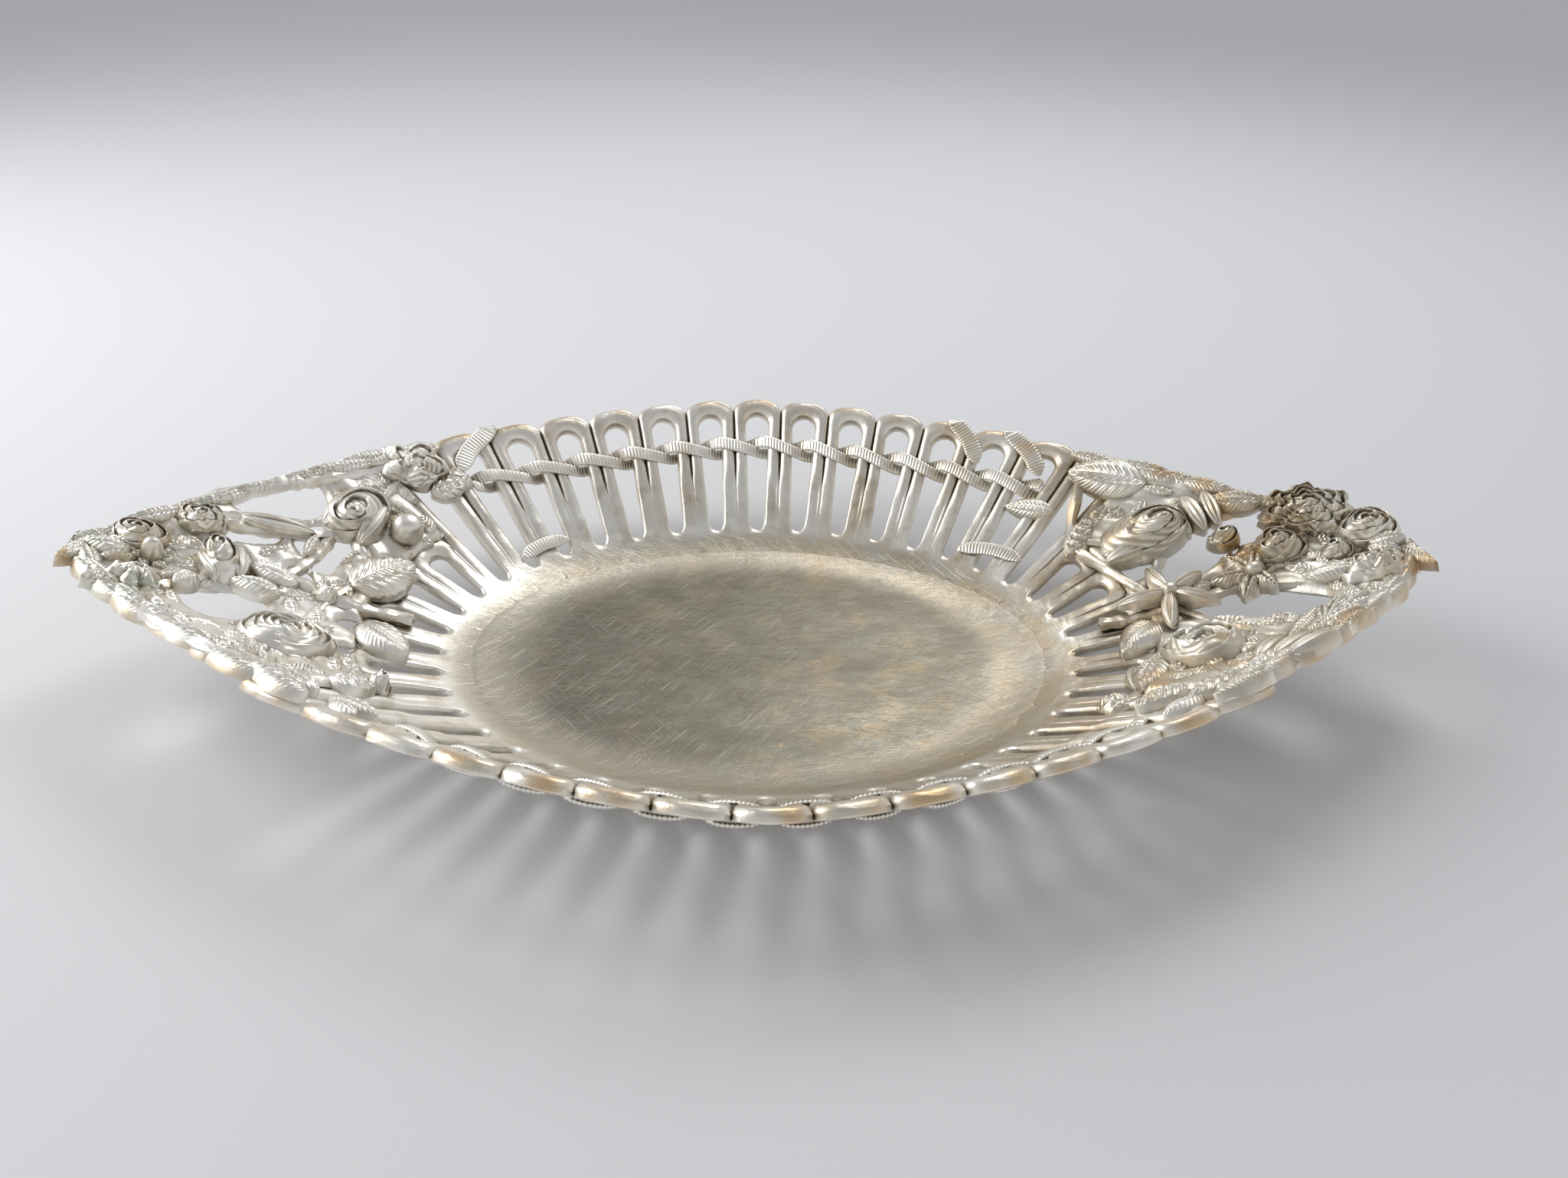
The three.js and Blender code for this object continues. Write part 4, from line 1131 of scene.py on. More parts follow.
@dataclass
class Stems:
    """The cast foliage of one end: a web round its openings, a rope of leaves along the rim, and stems."""

    end: End
    finish: Finish
    holes: Sequence[Hole]
    fronds: Sequence[Numbers]
    paths: Sequence[Sequence[Numbers]]
    radius: float = 1.7
    centre: float = 3.5
    step: float = 0.85
    side_hoop: float = 7.35
    start_rise: float = 23.0
    rim_inset: float = 1.6
    middle: float = 2.6
    half_thickness: float = 1.9
    rounding: float = 3.2
    opening: float = 0.8
    rope_gap: float = 7.0
    rope_overlap: float = 1.1
    rope_ahead: float = 10.0
    leaf_pitch: float = 6.0
    frond_seat: float = 4.4
    least_frond: float = 3.5
    twist: float = 0.03
    waves: Waves = Waves(9.0, 0.3, 21)

    def __post_init__(self) -> None:
        """Draws the closed outline of the web: up a side hoop, round the rim and back over the arches."""
        last = GRID.hoops / 2 - self.side_hoop
        hoops = np.linspace(self.side_hoop, last, 260) * self.end.value
        climb = np.linspace(0, 1, 40, endpoint=False)
        sides = []
        for hoop in (hoops[0], hoops[-1]):
            top = GRID.top(hoop)
            rise = self.start_rise + (top - self.start_rise) * climb
            sides.append(GRID.plan(np.full_like(climb, hoop), rise))
        rim = GRID.rim(hoops)
        arches = GRID.plan(hoops, np.full_like(hoops, self.start_rise))
        first = self.side_hoop - self.rope_overlap
        self.rim = GRID.rim(np.linspace(first, GRID.hoops / 2 - first, 300) * self.end.value)
        self.outline = np.concatenate([sides[0], rim, sides[1][::-1], arches[::-1]])
        self.rng = np.random.default_rng(11 if self.end is End.LEFT else 12)

    def distance(self, plan: Array) -> Array:
        """Measures from the web's outline and from its openings.

        Args:
            plan: places in plan.

        Returns:
            Distances inside the web, below zero outside it and in its openings.
        """
        near = np.full(len(plan), 1e9)
        inside = np.zeros(len(plan), dtype=bool)
        for start, stop in zip(self.outline, np.roll(self.outline, -1, axis=0)):
            near = np.minimum(near, ((plan - start) ** 2).sum(axis=-1))
            crosses = (start[1] > plan[:, 1]) != (stop[1] > plan[:, 1])
            run = (plan[:, 1] - start[1]) / (stop[1] - start[1] if stop[1] != start[1] else 1.0)
            inside ^= crosses & (plan[:, 0] < start[0] + run * (stop[0] - start[0]))
        away = np.where(inside, np.sqrt(near), -np.sqrt(near)) - self.rim_inset
        return np.minimum(away, self.clearance(plan))

    def clearance(self, plan: Array) -> Array:
        """Returns how far plan places lie outside every opening."""
        return np.min([hole.distance(self.end, plan) for hole in self.holes], axis=0) - self.opening

    def fit(self, spot: Spot, length: float, width: float) -> float:
        """Narrows a leaf until it leaves the openings free.

        Args:
            spot: where its stalk is.
            length: its length.
            width: its full width.

        Returns:
            Its width, or 0 where it has no room.
        """
        angle = math.radians(spot.heading)
        way = np.array([self.end.value * math.cos(angle), math.sin(angle)]) * length
        room = self.clearance(spot.plan() + way * np.array([[0.25], [0.5], [0.75], [1.0]]))
        room[3] += 1.5
        return min(width, 2.1 * room.min()) if room.min() > 1.2 else 0.0

    def slope(self, plan: Array) -> Array:
        """Returns the direction in which places lie further inside the web."""
        steps = 0.3 * np.eye(2)
        slope = np.stack([self.distance(plan + step) - self.distance(plan - step) for step in steps], axis=-1)
        return slope / np.maximum(np.linalg.norm(slope, axis=-1, keepdims=True), 1e-6)

    def build(self, name: str) -> Casting:
        """Builds the foliage.

        Args:
            name: the piece's name.

        Returns:
            The piece.
        """
        self.casting = Casting(name, self.finish, [name])
        self._web()
        for path in self.paths:
            line = self._line(path)
            normals = WALL.normal(line[:, 0], line[:, 1])
            centres = WALL.point(line[:, 0], line[:, 1], np.full(len(line), self.centre))
            steps = np.arange(len(line))
            knots = 1 + 0.12 * np.sin(0.9 * steps) + 0.08 * np.sin(0.37 * steps)
            self.casting.skin(tube(centres, line[:, 2] * knots, normals, self.twist))
        self._rope()
        self._leaves()
        for from_tip, across, heading, length, width in self.fronds:
            spot = Spot(self.end, from_tip, across, heading, self.frond_seat)
            width = self.fit(spot, length, width)
            if width > self.least_frond:
                points, marks = leaf_relief(length, width, 1.8, length / 3.0, -1.8, 0.4, rows=41)
                self.casting.skin(spot.lay(points), **marks)
        return self.casting

    def _web(self) -> None:
        """Adds the web: a grid cut at its outline and openings, with a rounded edge and two faces."""
        low = self.outline.min(axis=0) - 1
        high = self.outline.max(axis=0) + 1
        across, up = (int(count) for count in (high - low) / self.step)
        made = bmesh.ops.create_grid(self.casting.mesh, x_segments=across, y_segments=up, size=1.0)
        verts = made["verts"]
        plan = low + (np.array([vert.co[:2] for vert in verts]) + 1) / 2 * (high - low)
        away = dict(zip(verts, self.distance(plan)))
        places = dict(zip(verts, plan))
        faces = {face for vert in verts for face in vert.link_faces}
        lost = [face for face in faces if min(away[vert] for vert in face.verts) < -0.45 * self.step]
        bmesh.ops.delete(self.casting.mesh, geom=lost, context="FACES")
        verts = [vert for vert in verts if vert.is_valid]
        edge = np.array([vert.is_boundary for vert in verts])
        plan = np.array([places[vert] for vert in verts])
        for _ in range(3):
            plan[edge] -= self.slope(plan[edge]) * self.distance(plan[edge])[:, None]
        depth = np.where(edge, 0.0, np.maximum(self.distance(plan), 0.05))
        swell = np.sqrt(1 - (1 - np.clip(depth / self.rounding, 0, 1)) ** 2) * self.half_thickness
        waves = self.waves.over(np.concatenate([plan, plan[:, :1]], axis=1))
        upper = WALL.point(plan[:, 0], plan[:, 1], self.middle + swell + waves * swell / self.half_thickness)
        lower = WALL.point(plan[:, 0], plan[:, 1], self.middle - swell)
        for vert, place in zip(verts, upper):
            vert.co = place * MM
        faces = list({face for vert in verts for face in vert.link_faces})
        copy = bmesh.ops.duplicate(self.casting.mesh, geom=faces)
        under = {vert: copy["vert_map"][vert] for vert in verts}
        for vert, place in zip(verts, lower):
            under[vert].co = place * MM
        self.casting.close([*verts, *under.values()])

    def _line(self, path: Sequence[Numbers]) -> Array:
        """Returns a stem's path as plan places and radii."""
        places = []
        for from_tip, across, *radius in path:
            plan = Spot(self.end, from_tip, across).plan()
            places.append([plan[0], plan[1], radius[0] if radius else self.radius])
        return curve_through(np.array(places), 14)

    def _spot(self, plan: Array, direction: Array, turn: float, seat: float) -> Spot:
        """Returns a spot at a plan place that heads along a plan direction, turned by some degrees."""
        heading = math.degrees(math.atan2(direction[1], direction[0] * self.end.value)) + turn
        half = WALL.half_width_at(plan[0])
        return Spot(self.end, WALL.half_length - abs(plan[0]), plan[1] / max(half, 1.0), heading, seat)

    def _rope(self) -> None:
        """Adds long leaves that overlap along the rim, from the tip to the side hoops."""
        run = run_along(self.rim)
        for index, along in enumerate(np.arange(2.0, run[-1] - 12.0, self.rope_gap)):
            stalk = np.array([np.interp(along, run, self.rim[:, axis]) for axis in (0, 1)])
            tip = np.array([np.interp(along + self.rope_ahead, run, self.rim[:, axis]) for axis in (0, 1)])
            direction = tip - stalk
            inward = np.array([direction[1], -direction[0]]) / np.linalg.norm(direction)
            inward *= -np.sign(inward @ stalk)
            if along > run[-1] / 2:
                stalk, direction = tip, -direction
            second = index % 2
            stalk = stalk + inward * (2.9 + 0.9 * second)
            spot = self._spot(stalk, direction, self.rng.uniform(-7, 7), 3.6 + 0.6 * second)
            length = self.rng.uniform(14, 19)
            width = max(self.fit(spot, length, self.rng.uniform(5.5, 7)), 3.8)
            points, marks = leaf_relief(length, width, 2.0, length / 2.6, -1.7, 0.28,
                                        sway=self.rng.uniform(-1, 1), rows=29, columns=13)
            laid = spot.lay(points)
            room = WALL.rim_half_width(laid[..., 0]) - np.abs(laid[..., 1])
            self.casting.skin(laid, wear=0.9 * smooth_step(4.5, 1.5, room), **marks)

    def _leaves(self) -> None:
        """Adds small leaves all over the web, which run along its openings."""
        low, high = self.outline.min(axis=0), self.outline.max(axis=0)
        x, y = np.meshgrid(*(np.arange(a, b, self.leaf_pitch) for a, b in zip(low, high)), indexing="ij")
        plan = np.stack([x, y], axis=-1).reshape(-1, 2) + self.rng.uniform(-2.0, 2.0, (x.size, 2))
        plan = plan[self.distance(plan) > 1.4]
        for place, inward in zip(plan, self.slope(plan)):
            way = self.rng.choice([-1, 1])
            along = np.array([-inward[1], inward[0]]) * way
            spot = self._spot(place - along * 4, along, self.rng.uniform(-18, 18), self.rng.uniform(3.3, 4.3))
            length = self.rng.uniform(8, 12)
            middle = spot.plan() + along * length * 0.5
            tip = spot.plan() + along * length
            width = self.fit(spot, length, self.rng.uniform(4, 6))
            if width < 2.5 or self.distance(np.array([middle, tip])).min() < 1.2:
                continue
            points, marks = leaf_relief(length, width, 1.3, length / 3.2, -1.4, 0.25,
                                        sway=self.rng.uniform(-1.5, 1.5), rows=15, columns=9)
            self.casting.skin(spot.lay(points), **marks)


STEM_SEAT = 1.9
STAR_SEAT = 7.6
STRAND_SEAT = 3.4

LEFT_HOLES = [
    Hole(44.5, 0.8, 24, 9, -21, 0.3), Hole(41, 0.54, 15, 6.5, -18), Hole(61, 0.37, 16, 9.5, -101, 0.45),
    Hole(57, 0.2, 6.5, 4, -143), Hole(39, -0.26, 24, 13, 15, 0.5), Hole(75, -0.09, 7, 4, -145),
    Hole(76, -0.32, 7, 5, 152), Hole(79, 0.36, 3, 2.4), Hole(20, 0.04, 4, 3),
]
RIGHT_HOLES = [
    Hole(76, 0.36, 11, 8, 14), Hole(60, 0.37, 19, 11, -135, 0.2), Hole(50.5, 0.46, 9, 4.5, -4),
    Hole(43, 0.62, 19, 8.5, 2), Hole(14, 0.6, 8, 6.5, -4), Hole(46, -0.13, 36, 16, -37, 0.15),
]
LEFT_FRONDS = [
    (44, -0.2, -100, 30, 12), (50, -0.31, -97, 28, 11), (56, -0.38, -100, 28, 11), (68, -0.83, -145, 20, 9),
    (81, -0.68, 154, 12, 8), (82, -0.36, 78, 18, 8), (86, 0.74, 142, 12, 8), (18, -0.72, -62, 8, 6),
]
RIGHT_FRONDS = [
    (14, -0.34, -146, 28, 9), (29, -0.76, -149, 22, 9), (34, -0.52, -134, 30, 10), (34, -0.74, -110, 15, 6),
    (56, -0.85, -151, 17, 8), (70, -0.85, -153, 20, 9), (83, -0.73, -164, 16, 8), (80, -0.35, -119, 20, 10),
    (92, 0.47, 50, 16, 8),
]

LEFT_STEMS = [
    [(82, 0.9), (66, 0.88), (54, 0.88, 2.4), (46, 0.9, 2.2), (32, 0.92), (20, 0.84), (10, 0.6), (6, 0)],
    [(82, -0.9), (64, -0.94, 2.2), (49, -0.94), (36, -0.92, 2), (22, -0.84), (11, -0.6), (6, 0)],
    [(90, 0.04), (78, 0.04), (67, 0.05, 2.6), (54, 0.16), (40, 0.14), (28, 0.1), (6, 0)],
    [(67, 0.05), (74, 0.3), (68, 0.52), (74, 0.74), (80, 0.9)],
    [(67, 0.05), (64, -0.24), (64, -0.5), (70, -0.93)],
    [(68, 0.52), (58, 0.5), (46, 0.52), (34, 0.6), (28, 0.66), (23, 0.88)],
    [(54, 0.16), (59, 0.34), (62, 0.5)],
    [(40, 0.14), (34, -0.14), (28, -0.5), (30, -0.88)],
]

RIGHT_STEMS = [
    [(82, 0.9), (64, 0.88), (50, 0.88), (36, 0.88), (22, 0.86), (12, 0.7), (6, 0)],
    [(82, -0.9), (62, -0.92), (46, -0.92), (32, -0.9), (20, -0.8), (11, -0.5), (6, 0)],
    [(90, 0.04), (80, 0.02), (69, 0.03, 2), (57, 0.08), (46, 0.12), (36, 0.32), (26, 0.86)],
    [(46, 0.12), (32, -0.06), (18, -0.4), (16, -0.7)],
    [(69, 0.03), (62, -0.18), (54, -0.5), (46, -0.92)],
    [(69, 0.03), (80, 0.33), (90, 0.54), (84, 0.88)],
    [(90, 0.54), (78, 0.5), (66, 0.5), (54, 0.68), (44, 0.86)],
    [(62, -0.18), (69, -0.46), (74, -0.88)],
    [(36, 0.32), (24, 0.3), (11, 0.66)],
]


@dataclass
class Blooms:
    """The blooms, buds and leaves of both ends, each made by its own function."""

    made: list[Bloom] = field(default_factory=list)

    def _start(self, name: str, finish: Finish, *place: float, **seat: float) -> Bloom:
        """Starts a bloom from its end, its distance from the tip, its share across and its heading."""
        end = End.LEFT if name.startswith("left") else End.RIGHT
        bloom = Bloom(name, finish, Spot(end, *place, **seat))
        self.made.append(bloom)
        return bloom

    def _silver(self, name: str, *place: float, **seat: float) -> Bloom:
        """Starts a bright bloom."""
        return self._start(name, Finish.SILVER, *place, **seat)

    def _worn(self, name: str, *place: float, **seat: float) -> Bloom:
        """Starts a worn bloom."""
        return self._start(name, Finish.WORN, *place, **seat)

    def build(self) -> list[Bloom]:
        """Returns every bloom of both ends."""
        self.left_tip()
        self.left_middle()
        self.left_side()
        self.right_back()
        self.right_tip()
        self.right_middle()
        self.right_side()
        return self.made

    def left_tip(self) -> None:
        """Makes the small blooms at the left tip."""
        leaf = self._worn("left_tip_leaf", 17, 0.0, -3)
        leaf.leaf(12, 8, 2.4)
        leaf.leaf(9, 6, 2.2, x=-1, y=2, turn=24, lift=-0.6)
        leaf.leaf(9, 5, 2.2, x=-2, y=-2, turn=-24, lift=-0.6)
        self._worn("left_tip_rosebud", 17, 0.4).rose(16, 13, 4.6, turns=3.2, petals=3, offset=0.15)
        daisy = self._worn("left_daisy", 23, -0.5)
        daisy.rose(15, 12, 3.6, turns=1.6, petals=6, depth=1.8, rays=1.2, cut=0.14)
        ball = self._silver("left_ball_bud", 22, 0.02)
        ball.knob(3.0, 6.2, -2.4)
        ball.around(5, 1.5, 4, 3.5)
        self._silver("left_blossom", 29, 0.64).rose(14, 11, 4.4, turns=2.6, petals=4, ruffle=0.06, rays=0.6)
        tall = self._silver("left_tall_bud", 38, 0.16, 62)
        tall.rose(18, 13, 6.0, turns=2.4, petals=2, offset=0.5, depth=2.4)
        tall.leaf(14, 6.5, 3.6, -8, 3, 8, pleats=0, slant=1.6)
        tall.leaf(13, 6, 3.3, -8, -3, -10, pleats=0, slant=1.6)
        small = self._silver("left_small_leaf", 34, -0.1, -74)
        small.leaf(9, 7, 2.6)
        small.leaf(8, 5, 2.2, x=1, y=1, turn=34)
        almond = self._silver("left_almond_leaf", 38, 0.64, 184)
        almond.leaf(21, 6.5, 2.6, pleats=0, slant=0, depth=0, crease=-0.5)

    def left_middle(self) -> None:
        """Makes the large blooms and leaves where the left end meets the side hoops."""
        lobed = self._silver("left_two_lobed_leaf", 58, 0.08, 14)
        lobed.leaf(15, 8, 2.9, depth=0.25)
        lobed.leaf(14, 8, 2.7, x=1, y=-7, turn=-10, depth=0.25)
        self._silver("left_ribbon", 57, 0.34, 95).leaf(8, 4, 2.2, pleats=6, slant=0, crease=0)
        folded = self._worn("left_folded_rose", 67, 0.64, 110)
        folded.rose(22, 19, 6.0, turns=2.6, petals=2, offset=-0.35, depth=2.8)
        folded.leaf(18, 8, 4.0, -10, 6, -8, pleats=0, slant=1.7)
        folded.leaf(17, 8, 3.7, -10, -5, 10, pleats=0, slant=1.7)
        ruffled = self._silver("left_ruffled_flower", 80, 0.88)
        ruffled.rose(21, 17, 4.2, turns=1.9, petals=5, depth=2.2, rays=1.4, cut=0.1, ruffle=0.05)
        pearl = self._silver("left_pearl", 81, 0.54, seat=STEM_SEAT)
        pearl.knob(5.0, 9.5, 0.0)
        pearl.around(6, 2.5, 6.5, 4.5, 1.0)
        button = self._silver("left_button", hoop=6.5, rise=39, seat=STRAND_SEAT)
        button.rose(11, 10, 2.7, turns=1.6, petals=4, depth=0.9)
        veined = self._silver("left_veined_leaf", 71, 0.16, 135)
        veined.leaf(21, 17, 2.9, pleats=7, slant=-1.6, depth=0.45, rows=41, columns=25)
        self._silver("left_knot", 66, 0.05).rose(7, 7, 3.9, turns=1.3, petals=4, depth=0.9)

    def left_side(self) -> None:
        """Makes the open rose and the leaves near it."""
        rose = self._silver("left_open_rose", 64, -0.45)
        rose.rose(26, 26, 4.4, turns=5.6, petals=3, depth=2.2, cup=1.4, rows=100, columns=120)
        shell = self._silver("left_shell_leaf", 77, -0.06, 215, seat=STEM_SEAT)
        shell.leaf(19, 13, 3.0, lift=1.6, pleats=6, depth=0.35, sink=3.6)
        acorn = self._silver("left_acorn", hoop=13.2, rise=23, heading=60, seat=STEM_SEAT)
        acorn.rose(9, 7, 5.1, turns=1.4, petals=3, sink=1.5)
        rim = self._worn("left_rim_leaf", 86, -0.84, 205, seat=STEM_SEAT)
        rim.leaf(15, 8, 2.4, lift=1.0, sink=3.0)
        rim.leaf(11, 6, 2.3, x=4, y=3, turn=26, lift=0.6, sink=2.6)

    def right_back(self) -> None:
        """Makes the leaves and the egg-shaped bud at the back of the right end."""
        rim = self._silver("right_rim_leaf", 66, 0.86, 156)
        rim.leaf(25, 15, 3.0, pleats=9, slant=-1.8, depth=0.4, lift=-0.6, rows=45, columns=21)
        band = self._silver("right_band_leaf", hoop=6.75, rise=32, heading=162, seat=STEM_SEAT)
        band.leaf(16, 8, 2.0, pleats=7, depth=0.3, sink=1.6)
        egg_bud = self._worn("right_egg_bud", 70, 0.54, 8)
        egg_bud.rose(29, 20, 7.6, turns=2.6, petals=2, offset=0.5, depth=2.8, cut=0.02)
        egg_bud.leaf(17, 8, 4.0, -13, -5, 6, pleats=0, slant=1.7)
        rolled = self._worn("right_rolled_petals", 53, 0.56, 100)
        rolled.leaf(15, 6.5, 4.6, pleats=0, slant=1.5, depth=0.6)
        rolled.leaf(14, 6, 3.9, y=-4, turn=-8, pleats=0, slant=1.5, depth=0.5)
        rolled.leaf(13, 6, 3.7, x=1, y=4, turn=12, pleats=0, slant=1.5, depth=0.5)
        self._worn("right_pinnate_leaf", 35, 0.9, 168).leaf(18, 9, 2.7, lift=-0.6, pleats=7, depth=0.4)

    def right_tip(self) -> None:
        """Makes the carnation and the roses at the right tip."""
        carnation = self._worn("right_carnation", 25, 0.88, -20)
        carnation.rose(27, 20, 6.3, turns=4.4, petals=7, ruffle=0.12, depth=2.6, rays=0.6, cut=0.1,
                       rows=80, columns=132)
        self._silver("right_upper_rose", 12.5, 0.8).rose(19, 15, 6.3, turns=3.6, petals=3, depth=2.6, cup=1.0)
        petals = self._worn("right_tip_petals", 14, 0.35, -4, seat=6.6)
        petals.leaf(10, 7, 2.4)
        petals.leaf(9, 6, 2.2, x=-1, y=-2, turn=-26)
        lower = self._silver("right_lower_rose", 17, -0.26)
        lower.rose(20, 15, 5.3, turns=3.0, petals=4, ruffle=0.08, rays=0.8, cut=0.12)

    def right_middle(self) -> None:
        """Makes the lily, the maple leaf and the small pieces round them."""
        self._worn("right_small_bud", 49, 0.5, 10).rose(10, 7.5, 4.9, turns=1.6, petals=2, offset=0.4)
        lily = self._worn("right_lily", 36, 0.4)
        lily.rose(16, 14, 6.5, turns=2.4, petals=3, ruffle=0.05, depth=2.8, rays=0.9, cut=0.12)
        maple = self._worn("right_maple_leaf", 45, 0.16, 180)
        for turn, length in ((-112, 10), (-58, 12), (0, 14), (58, 12), (112, 10)):
            maple.leaf(length, 7, 2.4, turn=turn, lobes=3, lobe_depth=0.3, curl=-0.8, crease=-0.4)
        maple.knob(3.0, 4.2, -2.2)
        self._worn("right_oval_leaf", 33, -0.02, -12).leaf(16, 8, 3.0)
        self._worn("right_round_petal", 22, 0.32).rose(10, 8, 3.6, turns=1.3, petals=3)
        self._worn("right_side_leaf", 66, 0.1, 6).leaf(10, 6, 2.4)

    def right_side(self) -> None:
        """Makes the star, the cup rose and the leaves at the near side of the right end."""
        self._silver("right_star_blossom", 69, 0.06, 35, seat=STAR_SEAT).star()
        broad = self._silver("right_broad_petal", 75, -0.04, 222, seat=STEM_SEAT)
        broad.leaf(18, 13, 3.0, lift=1.6, fullness=0.6, depth=0.2, sink=3.6)
        cup = self._worn("right_cup_rose", 70, -0.46)
        cup.rose(23, 25, 7.0, turns=2.8, petals=3, depth=2.8, cup=5.2)
        cup.around(7, 8, 6, 6)
        bundle = self._silver("right_leaf_bundle", 62, -0.86, 38)
        for turn, y, length in ((-9, -3.5, 18), (2, 0, 19), (14, 3.5, 16)):
            bundle.leaf(length, 6.5, 2.9, y=y, turn=turn, lift=-0.8, pleats=0, slant=1.2, sway=-1.5)
        palm = self._worn("right_palm_leaf", 42, -0.76, 36)
        for turn, length in ((-34, 13), (-16, 19), (2, 23), (20, 20), (38, 14)):
            palm.leaf(length, 5.4, 2.4, turn=turn, lift=-0.8, crease=-0.3)
        curled = self._worn("right_curled_petal", hoop=12.2, rise=20, heading=250, seat=STEM_SEAT)
        curled.leaf(13, 7, 3.2, pleats=0, slant=1.5)
        round_leaf = self._silver("right_round_leaf", hoop=13.7, rise=18.5, seat=STEM_SEAT)
        round_leaf.rose(10, 9, 2.9, turns=1.3, petals=4, depth=0.9, sink=1.5)
        self._silver("right_edge_leaf", 84, -0.88, 208, seat=STEM_SEAT).leaf(14, 7, 2.3, lift=0.8, sink=2.6)


@dataclass(frozen=True)
class Mask:
    """A noise mask: how fine and layered it is, the values between which it rises, and its strength."""

    scale: float
    detail: float
    low: float
    high: float
    strength: float = 1.0


class Graph:
    """A short way to write a node tree."""

    def __init__(self, tree: bpy.types.NodeTree) -> None:
        """Starts from a tree."""
        self.tree = tree

    def node(self, kind: str, inputs: dict | None = None, **settings: object) -> bpy.types.Node:
        """Adds a node.

        Args:
            kind: the node's type without its ShaderNode prefix.
            inputs: values, or sockets to link, for its inputs by name or number.
            settings: attributes of the node.

        Returns:
            The node.
        """
        made = self.tree.nodes.new("NodeGroup" + kind if kind in ("Input", "Output") else "ShaderNode" + kind)
        for key, value in settings.items():
            setattr(made, key, value)
        for key, value in (inputs or {}).items():
            if isinstance(value, bpy.types.NodeSocket):
                self.tree.links.new(value, made.inputs[key])
            else:
                made.inputs[key].default_value = value
        return made

    def attribute(self, name: str) -> Value:
        """Returns one of the marks that the pieces' points carry."""
        return self.node("Attribute", attribute_name=name).outputs["Fac"]

    def math(self, operation: str, *values: Value, clamp: bool = False) -> Value:
        """Returns the result of the same sum on all the values, one after another."""
        result = values[0]
        for value in values[1:] or (0.0,):
            made = self.node("Math", {0: result, 1: value}, operation=operation, use_clamp=clamp)
            result = made.outputs[0]
        return result

    def times(self, *values: Value) -> Value:
        """Returns the product of the values."""
        return self.math("MULTIPLY", *values)

    def ramp(self, value: Value, low: float, high: float) -> Value:
        """Returns a smooth 0 to 1 mask of a socket between two values."""
        return self.node("MapRange", {0: value, 1: low, 2: high}, interpolation_type="SMOOTHSTEP").outputs[0]

    def mix(self, share: Value, first: Value | Numbers, second: Value | Numbers) -> Value:
        """Returns a mix of two colours or sockets."""
        return self.node("Mix", {0: share, 6: first, 7: second}, data_type="RGBA").outputs[2]

    def noise(self, place: Value, scale: float, detail: float) -> Value:
        """Returns a noise around 0.5."""
        return self.node("TexNoise", {"Vector": place, "Scale": scale, "Detail": detail}).outputs[0]

    def mask(self, place: Value, mask: Mask) -> Value:
        """Returns a noise mask from 0 to its strength."""
        raised = self.ramp(self.noise(place, mask.scale, mask.detail), mask.low, mask.high)
        return self.times(raised, mask.strength)

    def link(self, value: Value, node: bpy.types.Node, name: str) -> None:
        """Links a socket to a node's input."""
        self.tree.links.new(value, node.inputs[name])


def start_group(name: str, inputs: dict[str, str],
                outputs: dict[str, str]) -> tuple[Graph, bpy.types.Node, bpy.types.Node]:
    """Makes a node group with its sockets.

    Args:
        name: its name.
        inputs: its inputs' types by name.
        outputs: its outputs' types by name.

    Returns:
        Its graph, its input node and its output node.
    """
    tree = bpy.data.node_groups.new(name, "ShaderNodeTree")
    for direction, sockets in (("INPUT", inputs), ("OUTPUT", outputs)):
        for label, kind in sockets.items():
            tree.interface.new_socket(label, in_out=direction, socket_type="NodeSocket" + kind)
    graph = Graph(tree)
    return graph, graph.node("Input"), graph.node("Output")


COLOURS = ("silver", "olive", "smudge", "stain", "brass", "film_and_shade", "dark", "green", "bright")
SHARES = ("staining", "baring", "soiling_and_shade")


